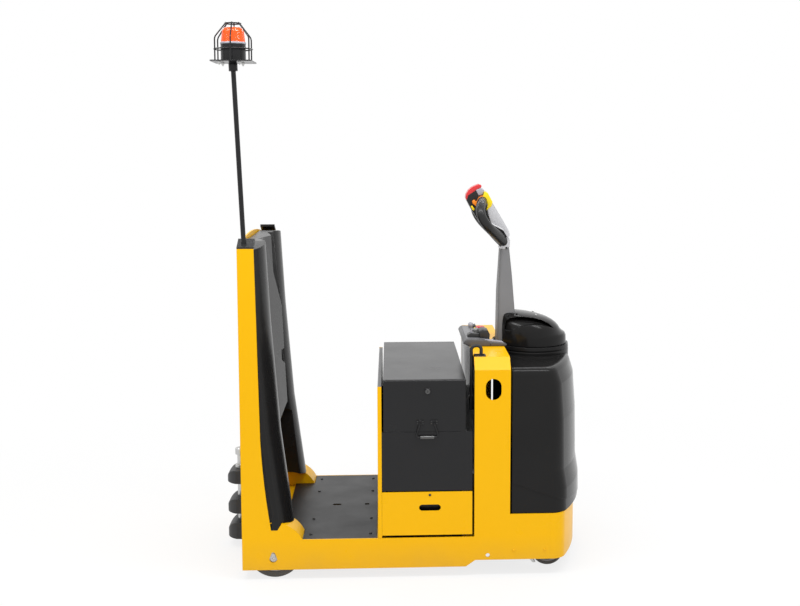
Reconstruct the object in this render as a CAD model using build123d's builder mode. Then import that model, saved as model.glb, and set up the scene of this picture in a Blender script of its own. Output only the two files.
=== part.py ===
"""Stand-on electric tow tractor: X forward, Z up, millimetres.

The origin is on the floor, under the middle of the whole machine.
The driver stands on the platform, leans on the backrest and steers with the tiller.
Lengths at the rear are measured from the rear panel, those at the front from the nose.
"""

import os
from math import cos, radians, sin, sqrt

from build123d import *

os.makedirs("parts", exist_ok=True)

# Whole machine
overall_length = 1449
body_width = 790
half_width = body_width / 2
front_x = overall_length / 2
sheet = 6
clearance = 1
seat_gap = 0.3

# Heights of the side plates
sill_bottom = 38
front_bottom = 63
platform_height = 155
post_top = 1268
post_mid_height = 540
notch_height = 193
column_fold = 803
column_bevel = 42
column_bevel_rise = 44
skirt_top = 242
hoop_top = column_fold + column_bevel_rise

# Places along the rear, from the rear panel
coupling_reach = 108.5
rear_x = -front_x + coupling_reach
post_front_top = rear_x + 62
post_front_mid = rear_x + 75
notch_rear = rear_x + 110
notch_front = rear_x + 134
rear_axle_x = rear_x + 122

# Places along the front, from the nose
cover_rear = front_x - 312.5
column_front = cover_rear - 7
column_rear = column_front - 137
box_front = column_rear - 33
box_rear = box_front - 314
kick_panel_wall = 15
kick_panel_x = box_rear - 6 - kick_panel_wall
panel_front = column_rear - 8
skirt_nose = front_x - 21.5
skirt_split = skirt_nose - 143
steer_x = front_x - 189
bottom_step_x = column_rear - 32
bottom_step_run = 36

# Holes in the side plates
column_hole_x = column_rear + 72
column_hole_z = 729
column_hole_width = 60
column_hole_height = 82
lash_hole_x = column_rear + 52
lash_hole_z = 81
lash_hole_radius = 8
keeper_slot_z = 80
keeper_slot_back = 5
keeper_slot_half = 15
keeper_slot_foot = 13
keeper_slot_shoulder = 22
keeper_slot_top = 27
keeper_slot_neck = 7

# Rear wheels
rear_wheel_radius = 105
rear_tyre_wall = 23
rear_wheel_width = 70
rear_wheel_gap = 16
rear_axle_radius = 15
fender_radius = 117
fender_start = 76
fender_sheet = 4
fender_cheek_gap = 14
keeper_radius = 34
keeper_wall = 6

# Front skirt and cover, rounded in plan
skirt_bow = 97.4
skirt_corner = 60
cover_bow = 115.4
cover_corner = 75
cover_top = 806
cover_shoulder = cover_top - 66
cover_edge = 28
cover_side_gap = 4
cover_wall = 6
cover_hole = 60
crease_rear_z = 364
crease_front_z = 252
crease_depth = 3

# Platform and battery compartment
deck_sheet = 8
mat_wall = 8
mat_front_gap = 6
kick_panel_top = 743
box_post_wall = 4
door_inset = 2
panel_inset = 4
lid_inset = 6
lid_bottom = 567
lid_top = 768
lid_fold = 10
lid_wall = 4
panel_bottom = 338
door_bottom = platform_height + 10
door_gap = 4
door_side_gap = 0.5
door_wall = 5
battery_gap = 10
battery_drop = 40

# Collar, hood and tiller
collar_radius = 150
collar_top = cover_top + 32
hood_radius = 141
hood_gap = 2
hood_swing = 165
arm_rear = steer_x - 149.5
arm_front = steer_x - 78.5
arm_half_base = 56
arm_half_top = 34
arm_top = 1236

# Drive unit and castors
drive_wheel_radius = 115
drive_wheel_width = 75
drive_tyre_wall = 20
turret_radius = 150
turret_bore = 128
turret_cap = 238
turret_cap_wall = 16
motor_radius = 95
motor_top = 540
column_radius = 30
frame_plate_z = 190
frame_plate_wall = 10
castor_wheel_radius = 62.5
castor_wheel_width = 45
castor_x = steer_x - 6.5
castor_y = half_width - 120
castor_trail = 36
castor_head = 176


def mirrored(right):
    """The left-hand copy of a right-hand piece."""
    with BuildPart() as left:
        mirror(right, about=Plane.XZ)
    return left


def both_sides(right):
    """A right-hand piece together with its left-hand copy, as two separate solids."""
    with BuildPart() as pair:
        add(right)
        mirror(right, about=Plane.XZ)
    return pair


def nose_face(rear, half, nose, bow, corner, inset=0):
    """A flat outline whose front is a wide arc with two rounded corners, moved in by the inset."""
    radius = (half**2 + bow**2) / (2 * bow) - inset
    inner_half = half - inset
    inner_nose = nose - inset
    corner_x = inner_nose - radius + sqrt(radius**2 - inner_half**2)
    with BuildSketch() as outline:
        with BuildLine():
            Polyline((corner_x, inner_half), (rear, inner_half), (rear, -inner_half), (corner_x, -inner_half))
            ThreePointArc((corner_x, -inner_half), (inner_nose, 0), (corner_x, inner_half))
        make_face()
        fillet(outline.vertices().sort_by(Axis.X)[-2:], corner - inset)
    return outline.sketch


def finish(piece, name):
    """Label a piece and write it to its own file."""
    piece.part.label = name
    export_step(piece.part, f"parts/{name}.step")
    print(name, len(piece.part.solids()), round(piece.part.volume / 1e3))


# Side plates: sill, rear post and front column in one sheet
fender_end = sqrt(fender_radius**2 - (platform_height - rear_wheel_radius) ** 2)
fender_middle = radians(50)
post_belly = 5
hump = Vector(
    rear_axle_x + fender_radius * cos(radians(fender_start)),
    rear_wheel_radius + fender_radius * sin(radians(fender_start)),
)
keeper_slot_x = rear_axle_x - keeper_slot_back
with BuildPart() as right_side_plate:
    with BuildSketch(Plane.XZ.offset(half_width)):
        with BuildLine():
            Polyline(
                (rear_axle_x + fender_end, platform_height),
                (column_rear, platform_height),
                (column_rear, column_fold),
                (column_front, column_fold),
                (column_front, skirt_top),
                (skirt_split, skirt_top),
                (skirt_split, front_bottom),
                (bottom_step_x + bottom_step_run, front_bottom),
                (bottom_step_x, sill_bottom),
                (rear_x, sill_bottom),
                (rear_x, post_top),
                (post_front_top, post_top),
                (post_front_mid, post_mid_height),
            )
            ThreePointArc(
                (post_front_mid, post_mid_height),
                ((post_front_mid + notch_rear) / 2 - post_belly, (post_mid_height + notch_height) / 2),
                (notch_rear, notch_height),
            )
            Polyline((notch_rear, notch_height), (notch_front, notch_height), (hump.X, hump.Y))
            ThreePointArc(
                (hump.X, hump.Y),
                (
                    rear_axle_x + fender_radius * cos(fender_middle),
                    rear_wheel_radius + fender_radius * sin(fender_middle),
                ),
                (rear_axle_x + fender_end, platform_height),
            )
        make_face()
        with BuildLine():
            slot_foot = ThreePointArc(
                (keeper_slot_x - keeper_slot_half, keeper_slot_z),
                (keeper_slot_x, keeper_slot_z - keeper_slot_foot),
                (keeper_slot_x + keeper_slot_half, keeper_slot_z),
            )
            slot_top = ThreePointArc(
                (keeper_slot_x + keeper_slot_neck, keeper_slot_z + keeper_slot_shoulder),
                (keeper_slot_x, keeper_slot_z + keeper_slot_top),
                (keeper_slot_x - keeper_slot_neck, keeper_slot_z + keeper_slot_shoulder),
            )
            Line(slot_foot @ 1, slot_top @ 0)
            Line(slot_top @ 1, slot_foot @ 0)
        make_face(mode=Mode.SUBTRACT)
        with Locations((column_hole_x, column_hole_z)):
            SlotOverall(column_hole_height, column_hole_width, rotation=90, mode=Mode.SUBTRACT)
        with Locations((lash_hole_x, lash_hole_z)):
            Circle(lash_hole_radius, mode=Mode.SUBTRACT)
    extrude(amount=-sheet)
finish(right_side_plate, "right_side_plate")
finish(mirrored(right_side_plate.part), "left_side_plate")

# Front skirt
with BuildPart() as front_skirt:
    with BuildSketch(Plane.XY.offset(front_bottom)):
        add(nose_face(skirt_split, half_width, skirt_nose, skirt_bow, skirt_corner))
        add(
            nose_face(skirt_split - sheet, half_width, skirt_nose, skirt_bow, skirt_corner, sheet),
            mode=Mode.SUBTRACT,
        )
    extrude(amount=skirt_top - front_bottom)
finish(front_skirt, "front_skirt")

# Front cover, a moulded shell that leans back towards the hood
cover_levels = (
    # height, nose set back, sides set back
    (skirt_top, 0, 0),
    (330, 2, 0),
    (405, 14, 0),
    (600, 17, 2),
    (cover_shoulder, 27, 4),
    (cover_top, 48, 8),
)


def cover_block(inset, top):
    """The cover as a solid, with every face moved in by the inset."""
    with BuildPart() as block:
        for height, nose_back, side_back in cover_levels:
            with BuildSketch(Plane.XY.offset(min(height, top))):
                add(
                    nose_face(
                        cover_rear - inset,
                        half_width - cover_side_gap - side_back,
                        front_x - nose_back,
                        cover_bow,
                        cover_corner,
                        inset,
                    )
                )
        loft(ruled=True)
        fillet(block.faces().sort_by(Axis.Z)[-1].edges().sort_by(Axis.X)[1:], cover_edge - inset)
    return block


cover_outer = cover_block(0, cover_top)
with BuildPart() as crease_band:
    add(cover_outer.part)
    add(cover_block(crease_depth, cover_top).part, mode=Mode.SUBTRACT)
    with BuildSketch(Plane.XZ.offset(half_width)):
        with BuildLine():
            Polyline(
                (cover_rear, skirt_top - clearance),
                (cover_rear, crease_rear_z),
                (front_x, crease_front_z),
                (front_x, skirt_top - clearance),
                close=True,
            )
        make_face()
    extrude(amount=-body_width, mode=Mode.INTERSECT)
with BuildPart() as front_cover:
    add(cover_outer.part)
    add(cover_block(cover_wall, cover_top - cover_wall).part, mode=Mode.SUBTRACT)
    add(crease_band.part, mode=Mode.SUBTRACT)
    with Locations((steer_x, 0, cover_top)):
        Hole(cover_hole, cover_wall * 3)
finish(front_cover, "front_cover")

# Collar under the hood, fitted to the cover
collar_foot_drop = 40
collar_groove_z = cover_top + 14
collar_groove = 4
with BuildPart() as collar_turned:
    with BuildSketch(Plane.XZ):
        with BuildLine():
            Polyline(
                (cover_hole, cover_top - collar_foot_drop),
                (collar_radius, cover_top - collar_foot_drop),
                (collar_radius, collar_groove_z - collar_groove),
                (collar_radius - collar_groove, collar_groove_z),
                (collar_radius, collar_groove_z + collar_groove),
                (collar_radius - collar_groove / 2, collar_top),
                (cover_hole, collar_top),
                close=True,
            )
        make_face()
    revolve(axis=Axis.Z)
with BuildPart() as cover_collar:
    with Locations((steer_x, 0, 0)):
        add(collar_turned.part)
    add(cover_outer.part, mode=Mode.SUBTRACT)
    with BuildSketch(Plane.XY.offset(cover_top - collar_foot_drop)):
        with Locations((steer_x, 0)):
            Circle(cover_hole)
    extrude(amount=collar_top, mode=Mode.SUBTRACT)
finish(cover_collar, "cover_collar")

# Console hoop between the columns
bevel_inner = column_bevel + 2
lead_notch_length = 46
lead_notch_width = 44
with BuildPart() as console_hoop:
    with BuildSketch(Plane.YZ.offset(column_rear)):
        with BuildLine():
            Polyline(
                (-half_width, column_fold),
                (-half_width + column_bevel, hoop_top),
                (half_width - column_bevel, hoop_top),
                (half_width, column_fold),
                (half_width - sheet, column_fold),
                (half_width - bevel_inner, hoop_top - sheet),
                (-half_width + bevel_inner, hoop_top - sheet),
                (-half_width + sheet, column_fold),
                close=True,
            )
        make_face()
    extrude(amount=column_front - column_rear)
    with BuildSketch(Plane.XY.offset(hoop_top)):
        with Locations((steer_x, 0)):
            Circle(hood_swing)
        with Locations((column_rear, -half_width + bevel_inner)):
            Rectangle(lead_notch_length, lead_notch_width, align=(Align.MIN, Align.MIN))
    extrude(amount=-3 * sheet, mode=Mode.SUBTRACT)
finish(console_hoop, "console_hoop")

# Bulkhead between battery and drive
with BuildPart() as bulkhead:
    with BuildSketch(Plane.YZ.offset(column_rear)):
        with BuildLine():
            Polyline(
                (-half_width + sheet, front_bottom),
                (-half_width + sheet, column_fold),
                (-half_width + bevel_inner, hoop_top - sheet),
                (half_width - bevel_inner, hoop_top - sheet),
                (half_width - sheet, column_fold),
                (half_width - sheet, front_bottom),
                close=True,
            )
        make_face()
    extrude(amount=sheet)
    with BuildSketch(Plane.YZ.offset(column_rear)):
        with Locations((-half_width + bevel_inner, hoop_top - sheet)):
            Rectangle(lead_notch_width, 2 * lead_notch_width, align=(Align.MIN, Align.CENTER))
    extrude(amount=sheet, mode=Mode.SUBTRACT)
finish(bulkhead, "bulkhead")

# Platform deck with room for the rear wheels
deck_top = platform_height - mat_wall
deck_half = half_width - sheet
wheel_house_x = rear_axle_x + fender_end + 2
cheek_y = deck_half - rear_wheel_gap - rear_wheel_width - fender_cheek_gap
deck_waist = cheek_y - fender_sheet


def stepped_sheet(rear, front, wall, height):
    """A flat sheet at the given height, narrowed between the rear wheels."""
    with BuildPart() as flat:
        with BuildSketch(Plane.XY.offset(height)):
            with BuildLine():
                Polyline(
                    (front, -deck_half),
                    (front, deck_half),
                    (wheel_house_x, deck_half),
                    (wheel_house_x, deck_waist),
                    (rear, deck_waist),
                    (rear, -deck_waist),
                    (wheel_house_x, -deck_waist),
                    (wheel_house_x, -deck_half),
                    close=True,
                )
            make_face()
        extrude(amount=wall)
    return flat


finish(stepped_sheet(rear_x + sheet, column_rear, deck_sheet, deck_top - deck_sheet), "platform_deck")

# Platform mat with its two holes
mat_rear = rear_x + 146
mat_slot_x = kick_panel_x - 175
mat_hole_x = kick_panel_x - 50
mat_hole = 18
with BuildPart() as platform_mat:
    add(stepped_sheet(mat_rear, kick_panel_x - mat_front_gap, mat_wall, deck_top).part)
    with BuildSketch(Plane.XY.offset(deck_top)):
        with Locations((mat_slot_x, 0)):
            SlotOverall(2 * mat_hole, mat_hole)
        with Locations((mat_hole_x, 0)):
            Rectangle(mat_hole, mat_hole)
    extrude(amount=mat_wall, mode=Mode.SUBTRACT)
finish(platform_mat, "platform_mat")

# Rear wheel houses
axle_lug_radius = 45
with BuildPart() as right_fender:
    with BuildSketch(Plane.XZ.offset(deck_waist)):
        with BuildLine():
            house_arc = ThreePointArc(
                (rear_axle_x - fender_end, platform_height),
                (rear_axle_x, rear_wheel_radius + fender_radius),
                (rear_axle_x + fender_end, platform_height),
            )
            Polyline(
                house_arc @ 1,
                (rear_axle_x + fender_end, deck_top - deck_sheet),
                (rear_axle_x - fender_end, deck_top - deck_sheet),
                house_arc @ 0,
            )
        make_face()
    extrude(amount=deck_half - deck_waist)
    with BuildSketch(Plane.XZ.offset(cheek_y)):
        with Locations((rear_axle_x, rear_wheel_radius)):
            Circle(fender_radius - fender_sheet)
    extrude(amount=half_width - cheek_y, mode=Mode.SUBTRACT)
    # the lug that holds the axle's inner end
    with BuildSketch(Plane.XZ.offset(deck_waist)):
        with Locations((rear_axle_x, rear_wheel_radius)):
            Rectangle(2 * axle_lug_radius, axle_lug_radius, align=(Align.CENTER, Align.MIN))
            Circle(axle_lug_radius)
    extrude(amount=fender_sheet)
finish(both_sides(right_fender.part), "wheel_houses")

# Rear panel with an arched top
arch_top = post_top + 34
with BuildPart() as rear_panel:
    with BuildSketch(Plane.YZ.offset(rear_x)):
        with BuildLine():
            Polyline(
                (deck_half, post_top),
                (deck_half, sill_bottom),
                (-deck_half, sill_bottom),
                (-deck_half, post_top),
            )
            ThreePointArc((-deck_half, post_top), (0, arch_top), (deck_half, post_top))
        make_face()
    extrude(amount=sheet)
finish(rear_panel, "rear_panel")

# Backrest: a moulded block with two bolsters, a keel and recesses, open at the feet
backrest_rear = rear_x + sheet + 4
backrest_levels = (
    # height, bolster front, valley front and keel front from the rear panel
    (notch_height, 186, 134, 154),
    (560, 136, 106, 142),
    (970, 102, 82, 124),
    (post_top + 16, 84, 68, 110),
)
bolster_y = half_width - 60
valley_y = half_width - 195
bolster_fall = 40
crown_rise = 30
crown_shoulder = 8
backrest_depth = 300
recess_depth = 26
recess_point = 998
badge_half = 120
badge_top = 820
badge_point = 756
badge_depth = 12
arch_half = half_width - 160
arch_shoulder = 500
arch_apex = 598
above_all = arch_top + 60
with BuildPart() as backrest_block:
    for height, bolster, valley, keel in backrest_levels:
        bolster_x, valley_x, keel_x = rear_x + bolster, rear_x + valley, rear_x + keel
        with BuildSketch(Plane.XY.offset(height)):
            with BuildLine():
                Polyline((valley_x, -valley_y), (keel_x, 0), (valley_x, valley_y))
                ThreePointArc(
                    (valley_x, valley_y), (bolster_x, bolster_y), (bolster_x - bolster_fall, half_width)
                )
                Polyline(
                    (bolster_x - bolster_fall, half_width),
                    (backrest_rear, half_width),
                    (backrest_rear, -half_width),
                    (bolster_x - bolster_fall, -half_width),
                )
                ThreePointArc(
                    (bolster_x - bolster_fall, -half_width), (bolster_x, -bolster_y), (valley_x, -valley_y)
                )
            make_face()
    loft(ruled=True)


def backrest_recess(half, top, point, depth):
    """A three-cornered recess in the backrest, with a floor that runs along its front."""
    with BuildPart() as recess:
        with BuildSketch(Plane.YZ.offset(rear_x)):
            with BuildLine():
                Polyline((-half, top), (half, top), (0, point), close=True)
            make_face()
        extrude(amount=backrest_depth)
        with Locations((-depth, 0, 0)):
            add(backrest_block.part, mode=Mode.SUBTRACT)
    return recess


with BuildPart() as backrest:
    add(backrest_block.part)
    add(backrest_recess(valley_y, above_all, recess_point, recess_depth).part, mode=Mode.SUBTRACT)
    add(backrest_recess(badge_half, badge_top, badge_point, badge_depth).part, mode=Mode.SUBTRACT)
    # crowned top
    with BuildSketch(Plane.YZ.offset(rear_x)):
        with BuildLine():
            crown = ThreePointArc(
                (-half_width, post_top - crown_shoulder),
                (0, post_top + crown_rise),
                (half_width, post_top - crown_shoulder),
            )
            Polyline(crown @ 1, (half_width, above_all), (-half_width, above_all), crown @ 0)
        make_face()
    extrude(amount=backrest_depth, mode=Mode.SUBTRACT)
    # arched opening down to the platform
    with BuildSketch(Plane.YZ.offset(rear_x)):
        with BuildLine():
            Polyline(
                (0, arch_apex),
                (-arch_half, arch_shoulder),
                (-arch_half, 0),
                (arch_half, 0),
                (arch_half, arch_shoulder),
                close=True,
            )
        make_face()
    extrude(amount=backrest_depth, mode=Mode.SUBTRACT)
    for side in (-1, 1):
        # behind the posts the block is narrower
        with BuildSketch(Plane.XZ.offset(side * half_width)):
            with BuildLine():
                Polyline(
                    (rear_x, 0),
                    (notch_rear + clearance, 0),
                    (notch_rear + clearance, notch_height),
                    (notch_rear + post_belly, notch_height + 10 * sheet),
                    (post_front_mid + 3 * clearance, post_mid_height),
                    (post_front_top + clearance, post_top),
                    (post_front_top + clearance, above_all),
                    (rear_x, above_all),
                    close=True,
                )
            make_face()
        extrude(amount=-side * (sheet + clearance), mode=Mode.SUBTRACT)
        # room for the wheel house and the hump of the side plate
        with BuildSketch(Plane.XZ.offset(side * (deck_half + clearance))):
            with Locations((rear_axle_x, rear_wheel_radius)):
                Circle(fender_radius + clearance)
        extrude(amount=-side * (deck_half - deck_waist + 10 * sheet), mode=Mode.SUBTRACT)
        with BuildSketch(Plane.XZ.offset(side * (half_width + clearance))):
            with BuildLine():
                Polyline(
                    (notch_front, 0),
                    (notch_front, notch_height),
                    (hump.X, hump.Y + clearance),
                    (rear_axle_x + fender_end, hump.Y + clearance),
                    (rear_axle_x + fender_end, 0),
                    close=True,
                )
            make_face()
        extrude(amount=-side * (sheet + 2 * clearance), mode=Mode.SUBTRACT)
finish(backrest, "backrest")

# Beacon on its leaning pole, and the caps on the posts
pole_radius = 9
pole_top = 1954
pole_foot = Vector(rear_x + 24, -half_width + 27, post_top)
pole_head = Vector(rear_x - 8, -half_width + 55, pole_top)
pole_plane = Plane(origin=pole_foot, z_dir=pole_head - pole_foot)
with BuildPart() as beacon_pole:
    with BuildLine() as pole_line:
        Line(pole_foot, pole_head)
    with BuildSketch(pole_plane):
        Circle(pole_radius)
    sweep(path=pole_line.line)
finish(beacon_pole, "beacon_pole")

cap_length = 53
cap_foot_rise = 6
cap_inner_rise = 24
with BuildPart() as right_cap:
    with BuildSketch(Plane.YZ.offset(rear_x)):
        with BuildLine():
            Polyline(
                (-half_width, post_top),
                (-half_width, post_top + cap_foot_rise),
                (-half_width + cap_length, arch_top),
                (-half_width + cap_length, post_top + cap_inner_rise),
                (-deck_half, post_top),
                close=True,
            )
        make_face()
    extrude(amount=post_front_top - rear_x)
with BuildPart() as post_caps:
    add(right_cap.part)
    with BuildSketch(pole_plane.offset(-cap_length)):
        Circle(pole_radius + seat_gap)
    extrude(amount=3 * cap_length, mode=Mode.SUBTRACT)
    mirror(right_cap.part, about=Plane.XZ)
finish(post_caps, "post_caps")

mount_wall = 4
mount_width = 152
mount_depth = 168
mount_corner = 12
mount_x = pole_head.X - 2
mount_y = pole_head.Y + 32
beacon_radius = 45
beacon_base_height = 66
beacon_lens_height = 58
beacon_taper = 4
lens_edge = 10
mount_foot = pole_head.Z + clearance
cage_foot = mount_foot + mount_wall
lens_foot = cage_foot + beacon_base_height
with BuildPart() as beacon_mount:
    with BuildSketch(Plane.XY.offset(mount_foot)):
        with Locations((mount_x, mount_y)):
            RectangleRounded(mount_width, mount_depth, mount_corner)
    extrude(amount=mount_wall)
    with BuildSketch(Plane.XY.offset(cage_foot)):
        with Locations((mount_x, mount_y)):
            Circle(beacon_radius + clearance)
    extrude(amount=beacon_base_height)
    with BuildSketch(pole_plane.offset((pole_head - pole_foot).length - sheet)):
        Circle(pole_radius + sheet)
        Circle(pole_radius + seat_gap, mode=Mode.SUBTRACT)
    extrude(until=Until.NEXT)
finish(beacon_mount, "beacon_mount")

with BuildPart() as beacon_lens:
    with BuildSketch(Plane.XY.offset(lens_foot)):
        with Locations((mount_x, mount_y)):
            Circle(beacon_radius)
    extrude(amount=beacon_lens_height, taper=beacon_taper)
    fillet(beacon_lens.faces().sort_by(Axis.Z)[-1].edges(), lens_edge)
finish(beacon_lens, "beacon_lens")

cage_radius = 72
cage_ring_radius = 29
cage_tip_radius = 26
cage_ring_z = cage_foot + 44
cage_shoulder = cage_foot + 86
cage_top = lens_foot + beacon_lens_height + 14
cage_tip = 3
cage_wire = 2.5
cage_bars = 6
cage_bend = 25
with BuildPart() as cage_unit:
    with BuildSketch(Plane.XZ):
        for ring, height in ((cage_ring_radius, cage_top), (cage_radius - 2, cage_ring_z)):
            with Locations((ring, height)):
                Circle(cage_wire)
    revolve(axis=Axis.Z)
    for bar in range(cage_bars):
        turn = radians((bar + 0.5) * 360 / cage_bars)
        with BuildLine() as bar_line:
            FilletPolyline(
                (cage_radius * cos(turn), cage_radius * sin(turn), cage_foot),
                (cage_radius * cos(turn), cage_radius * sin(turn), cage_shoulder),
                (cage_tip_radius * cos(turn), cage_tip_radius * sin(turn), cage_top + cage_tip),
                radius=cage_bend,
            )
        with BuildSketch(Plane(origin=bar_line.line @ 0, z_dir=bar_line.line % 0)):
            Circle(cage_wire + 0.1)
        sweep(path=bar_line.line)
with BuildPart() as beacon_cage:
    with Locations((mount_x, mount_y, 0)):
        add(cage_unit.part)
finish(beacon_cage, "beacon_cage")

# Tow coupling with three rounded jaws, and its pin
jaw_levels = (
    # foot, height of each jaw
    (37, 68),
    (144, 60),
    (269, 54),
)
jaw_nose = 40
jaw_round = 38
jaw_lip = 12
coupling_plate = 12
coupling_half = 72
coupling_margin = 7
coupling_corner = 10
jaw_half = coupling_half - 8
tow_pin_x = rear_x - coupling_reach + 52
tow_pin_radius = 12.5
tow_pin_gap = 0.4
jaw_bottom = jaw_levels[0][0]
jaw_top = jaw_levels[-1][0] + jaw_levels[-1][1]


def tow_jaw(foot, height):
    """One jaw, with its upper edge rounded down to the nose."""
    jaw_root = rear_x - coupling_plate
    with BuildPart() as jaw:
        with BuildSketch(Plane.XZ.offset(coupling_half)):
            with BuildLine():
                Polyline(
                    (-front_x + jaw_round, foot + height),
                    (jaw_root, foot + height),
                    (jaw_root, foot),
                    (-front_x, foot),
                    (-front_x, foot + jaw_lip),
                )
                ThreePointArc(
                    (-front_x, foot + jaw_lip),
                    (-front_x + 0.3 * jaw_round, foot + jaw_lip + 0.7 * (height - jaw_lip)),
                    (-front_x + jaw_round, foot + height),
                )
            make_face()
        extrude(amount=-2 * coupling_half)
        with BuildSketch(Plane.XY.offset(foot)):
            with BuildLine():
                nose = ThreePointArc(
                    (-front_x + jaw_nose, -jaw_half), (-front_x, 0), (-front_x + jaw_nose, jaw_half)
                )
                Polyline(
                    nose @ 1,
                    (jaw_root, jaw_half + 4),
                    (jaw_root, -jaw_half - 4),
                    nose @ 0,
                )
            make_face()
        extrude(amount=height, mode=Mode.INTERSECT)
    return jaw


with BuildPart() as tow_coupling:
    with BuildSketch(Plane.YZ.offset(rear_x)):
        with Locations((0, (jaw_bottom + jaw_top) / 2)):
            RectangleRounded(2 * coupling_half, jaw_top - jaw_bottom + 2 * coupling_margin, coupling_corner)
    extrude(amount=-coupling_plate)
    for jaw_foot, jaw_height in jaw_levels:
        add(tow_jaw(jaw_foot, jaw_height).part)
    with BuildSketch(Plane.XY.offset(jaw_bottom - sheet)):
        with Locations((tow_pin_x, 0)):
            Circle(tow_pin_radius + tow_pin_gap)
    extrude(amount=jaw_top, mode=Mode.SUBTRACT)
finish(tow_coupling, "tow_coupling")

tow_pin_foot = jaw_bottom + 12
tow_pin_top = jaw_top + 81
tow_pin_collar = 12
tow_pin_head = 26
tow_pin_flange = tow_pin_radius + 8
tow_pin_edge = 5
with BuildPart() as tow_pin:
    for foot, height, radius in (
        (tow_pin_foot, tow_pin_top - tow_pin_foot - tow_pin_head / 2, tow_pin_radius),
        (jaw_top, tow_pin_collar, tow_pin_flange),
        (tow_pin_top - tow_pin_head, tow_pin_head, tow_pin_flange),
    ):
        with BuildSketch(Plane.XY.offset(foot)):
            with Locations((tow_pin_x, 0)):
                Circle(radius)
        extrude(amount=height)
    chamfer(tow_pin.faces().sort_by(Axis.Z)[0].edges(), tow_pin_edge)
    fillet(tow_pin.faces().sort_by(Axis.Z)[-1].edges(), tow_pin_edge)
finish(tow_pin, "tow_pin")

# Battery as one block, and the panels round it
door_y = half_width - door_inset
panel_y = half_width - panel_inset
lid_y = half_width - lid_inset
panel_rear = kick_panel_x + kick_panel_wall
battery_half = panel_y - door_wall - 2 * battery_gap
with BuildPart() as battery:
    with BuildSketch(Plane.XY.offset(deck_top)):
        with Locations(((box_rear + box_front) / 2, 0)):
            Rectangle(box_front - box_rear - 2 * battery_gap, 2 * battery_half)
    extrude(amount=lid_top - battery_drop - deck_top)
finish(battery, "battery")

kick_panel_half = door_y - door_wall - seat_gap
with BuildPart() as kick_panel:
    with BuildSketch(Plane.XY.offset(deck_top)):
        with Locations((kick_panel_x + kick_panel_wall / 2, 0)):
            Rectangle(kick_panel_wall, 2 * kick_panel_half)
    extrude(amount=kick_panel_top - deck_top)
    fillet(kick_panel.edges().filter_by(Axis.Y).sort_by(Axis.X)[0:2].sort_by(Axis.Z)[-1], sheet)
finish(kick_panel, "kick_panel")

with BuildPart() as right_box_post:
    with BuildSketch(Plane.XY.offset(platform_height + seat_gap)):
        with Locations((kick_panel_x + kick_panel_wall / 2, -door_y)):
            Rectangle(kick_panel_wall, box_post_wall, align=(Align.CENTER, Align.MIN))
    extrude(amount=kick_panel_top - platform_height - seat_gap)
finish(both_sides(right_box_post.part), "box_posts")

with BuildPart() as right_panel:
    with BuildSketch(Plane.XZ.offset(panel_y)):
        with BuildLine():
            Polyline(
                (panel_rear, panel_bottom),
                (panel_rear, lid_bottom - seat_gap),
                (panel_front, lid_bottom - seat_gap),
                (panel_front, panel_bottom),
                close=True,
            )
        make_face()
    extrude(amount=-door_wall)
finish(both_sides(right_panel.part), "box_panels")

# Lower doors
door_slot_x = (panel_rear + panel_front) / 2 + 10.5
door_slot_z = 272
door_slot_width = 83
door_slot_height = 25
door_bolt_drop = 16
door_bolt_radius = 5
with BuildPart() as right_door:
    with BuildSketch(Plane.XZ.offset(door_y)):
        with BuildLine():
            Polyline(
                (panel_rear + door_side_gap, door_bottom),
                (panel_rear + door_side_gap, panel_bottom - door_gap),
                (panel_front, panel_bottom - door_gap),
                (panel_front, door_bottom),
                close=True,
            )
        make_face()
        with Locations((door_slot_x, door_slot_z)):
            SlotOverall(door_slot_width, door_slot_height, mode=Mode.SUBTRACT)
        with Locations((door_slot_x, panel_bottom - door_bolt_drop)):
            Circle(door_bolt_radius, mode=Mode.SUBTRACT)
    extrude(amount=-door_wall)
finish(right_door, "right_door")
finish(mirrored(right_door.part), "left_door")

# Battery lid, a folded cap that lifts off


def lid_block(inset):
    """The lid as a solid with folded edges, moved in by the inset and open below."""
    with BuildPart() as block:
        with BuildSketch(Plane.YZ.offset(box_rear + inset)):
            with Locations((0, lid_top - inset)):
                Rectangle(2 * (lid_y - inset), lid_top - lid_bottom, align=(Align.CENTER, Align.MAX))
        extrude(amount=box_front - box_rear - 2 * inset)
        fillet(block.edges().filter_by(Axis.X).group_by(Axis.Z)[-1], lid_fold - inset)
    return block


with BuildPart() as battery_lid:
    add(lid_block(0).part)
    add(lid_block(lid_wall).part, mode=Mode.SUBTRACT)
    fillet(battery_lid.faces().sort_by(Axis.Z)[-1].edges().filter_by(Axis.Y), lid_wall / 2)
finish(battery_lid, "battery_lid")

handle_x = (box_rear + box_front) / 2 + 10
handle_z = 604
handle_drop = 56
handle_half = 44
handle_foot_half = 26.4
handle_wire = 4
handle_bend = 10
handle_foot = (30, 18)
with BuildPart() as right_handle:
    with BuildSketch(Plane.XZ.offset(lid_y)):
        with Locations((handle_x - handle_foot_half, handle_z), (handle_x + handle_foot_half, handle_z)):
            RectangleRounded(*handle_foot, handle_wire)
    extrude(amount=handle_wire)
    bail_y = -lid_y - 2 * handle_wire
    with BuildLine() as bail_line:
        FilletPolyline(
            (handle_x - handle_foot_half, bail_y, handle_z),
            (handle_x - handle_half, bail_y, handle_z - handle_drop),
            (handle_x + handle_half, bail_y, handle_z - handle_drop),
            (handle_x + handle_foot_half, bail_y, handle_z),
            radius=handle_bend,
        )
    with BuildSketch(Plane(origin=bail_line.line @ 0, z_dir=bail_line.line % 0)):
        Circle(handle_wire)
    sweep(path=bail_line.line)
finish(both_sides(right_handle.part), "lid_handles")

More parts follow.
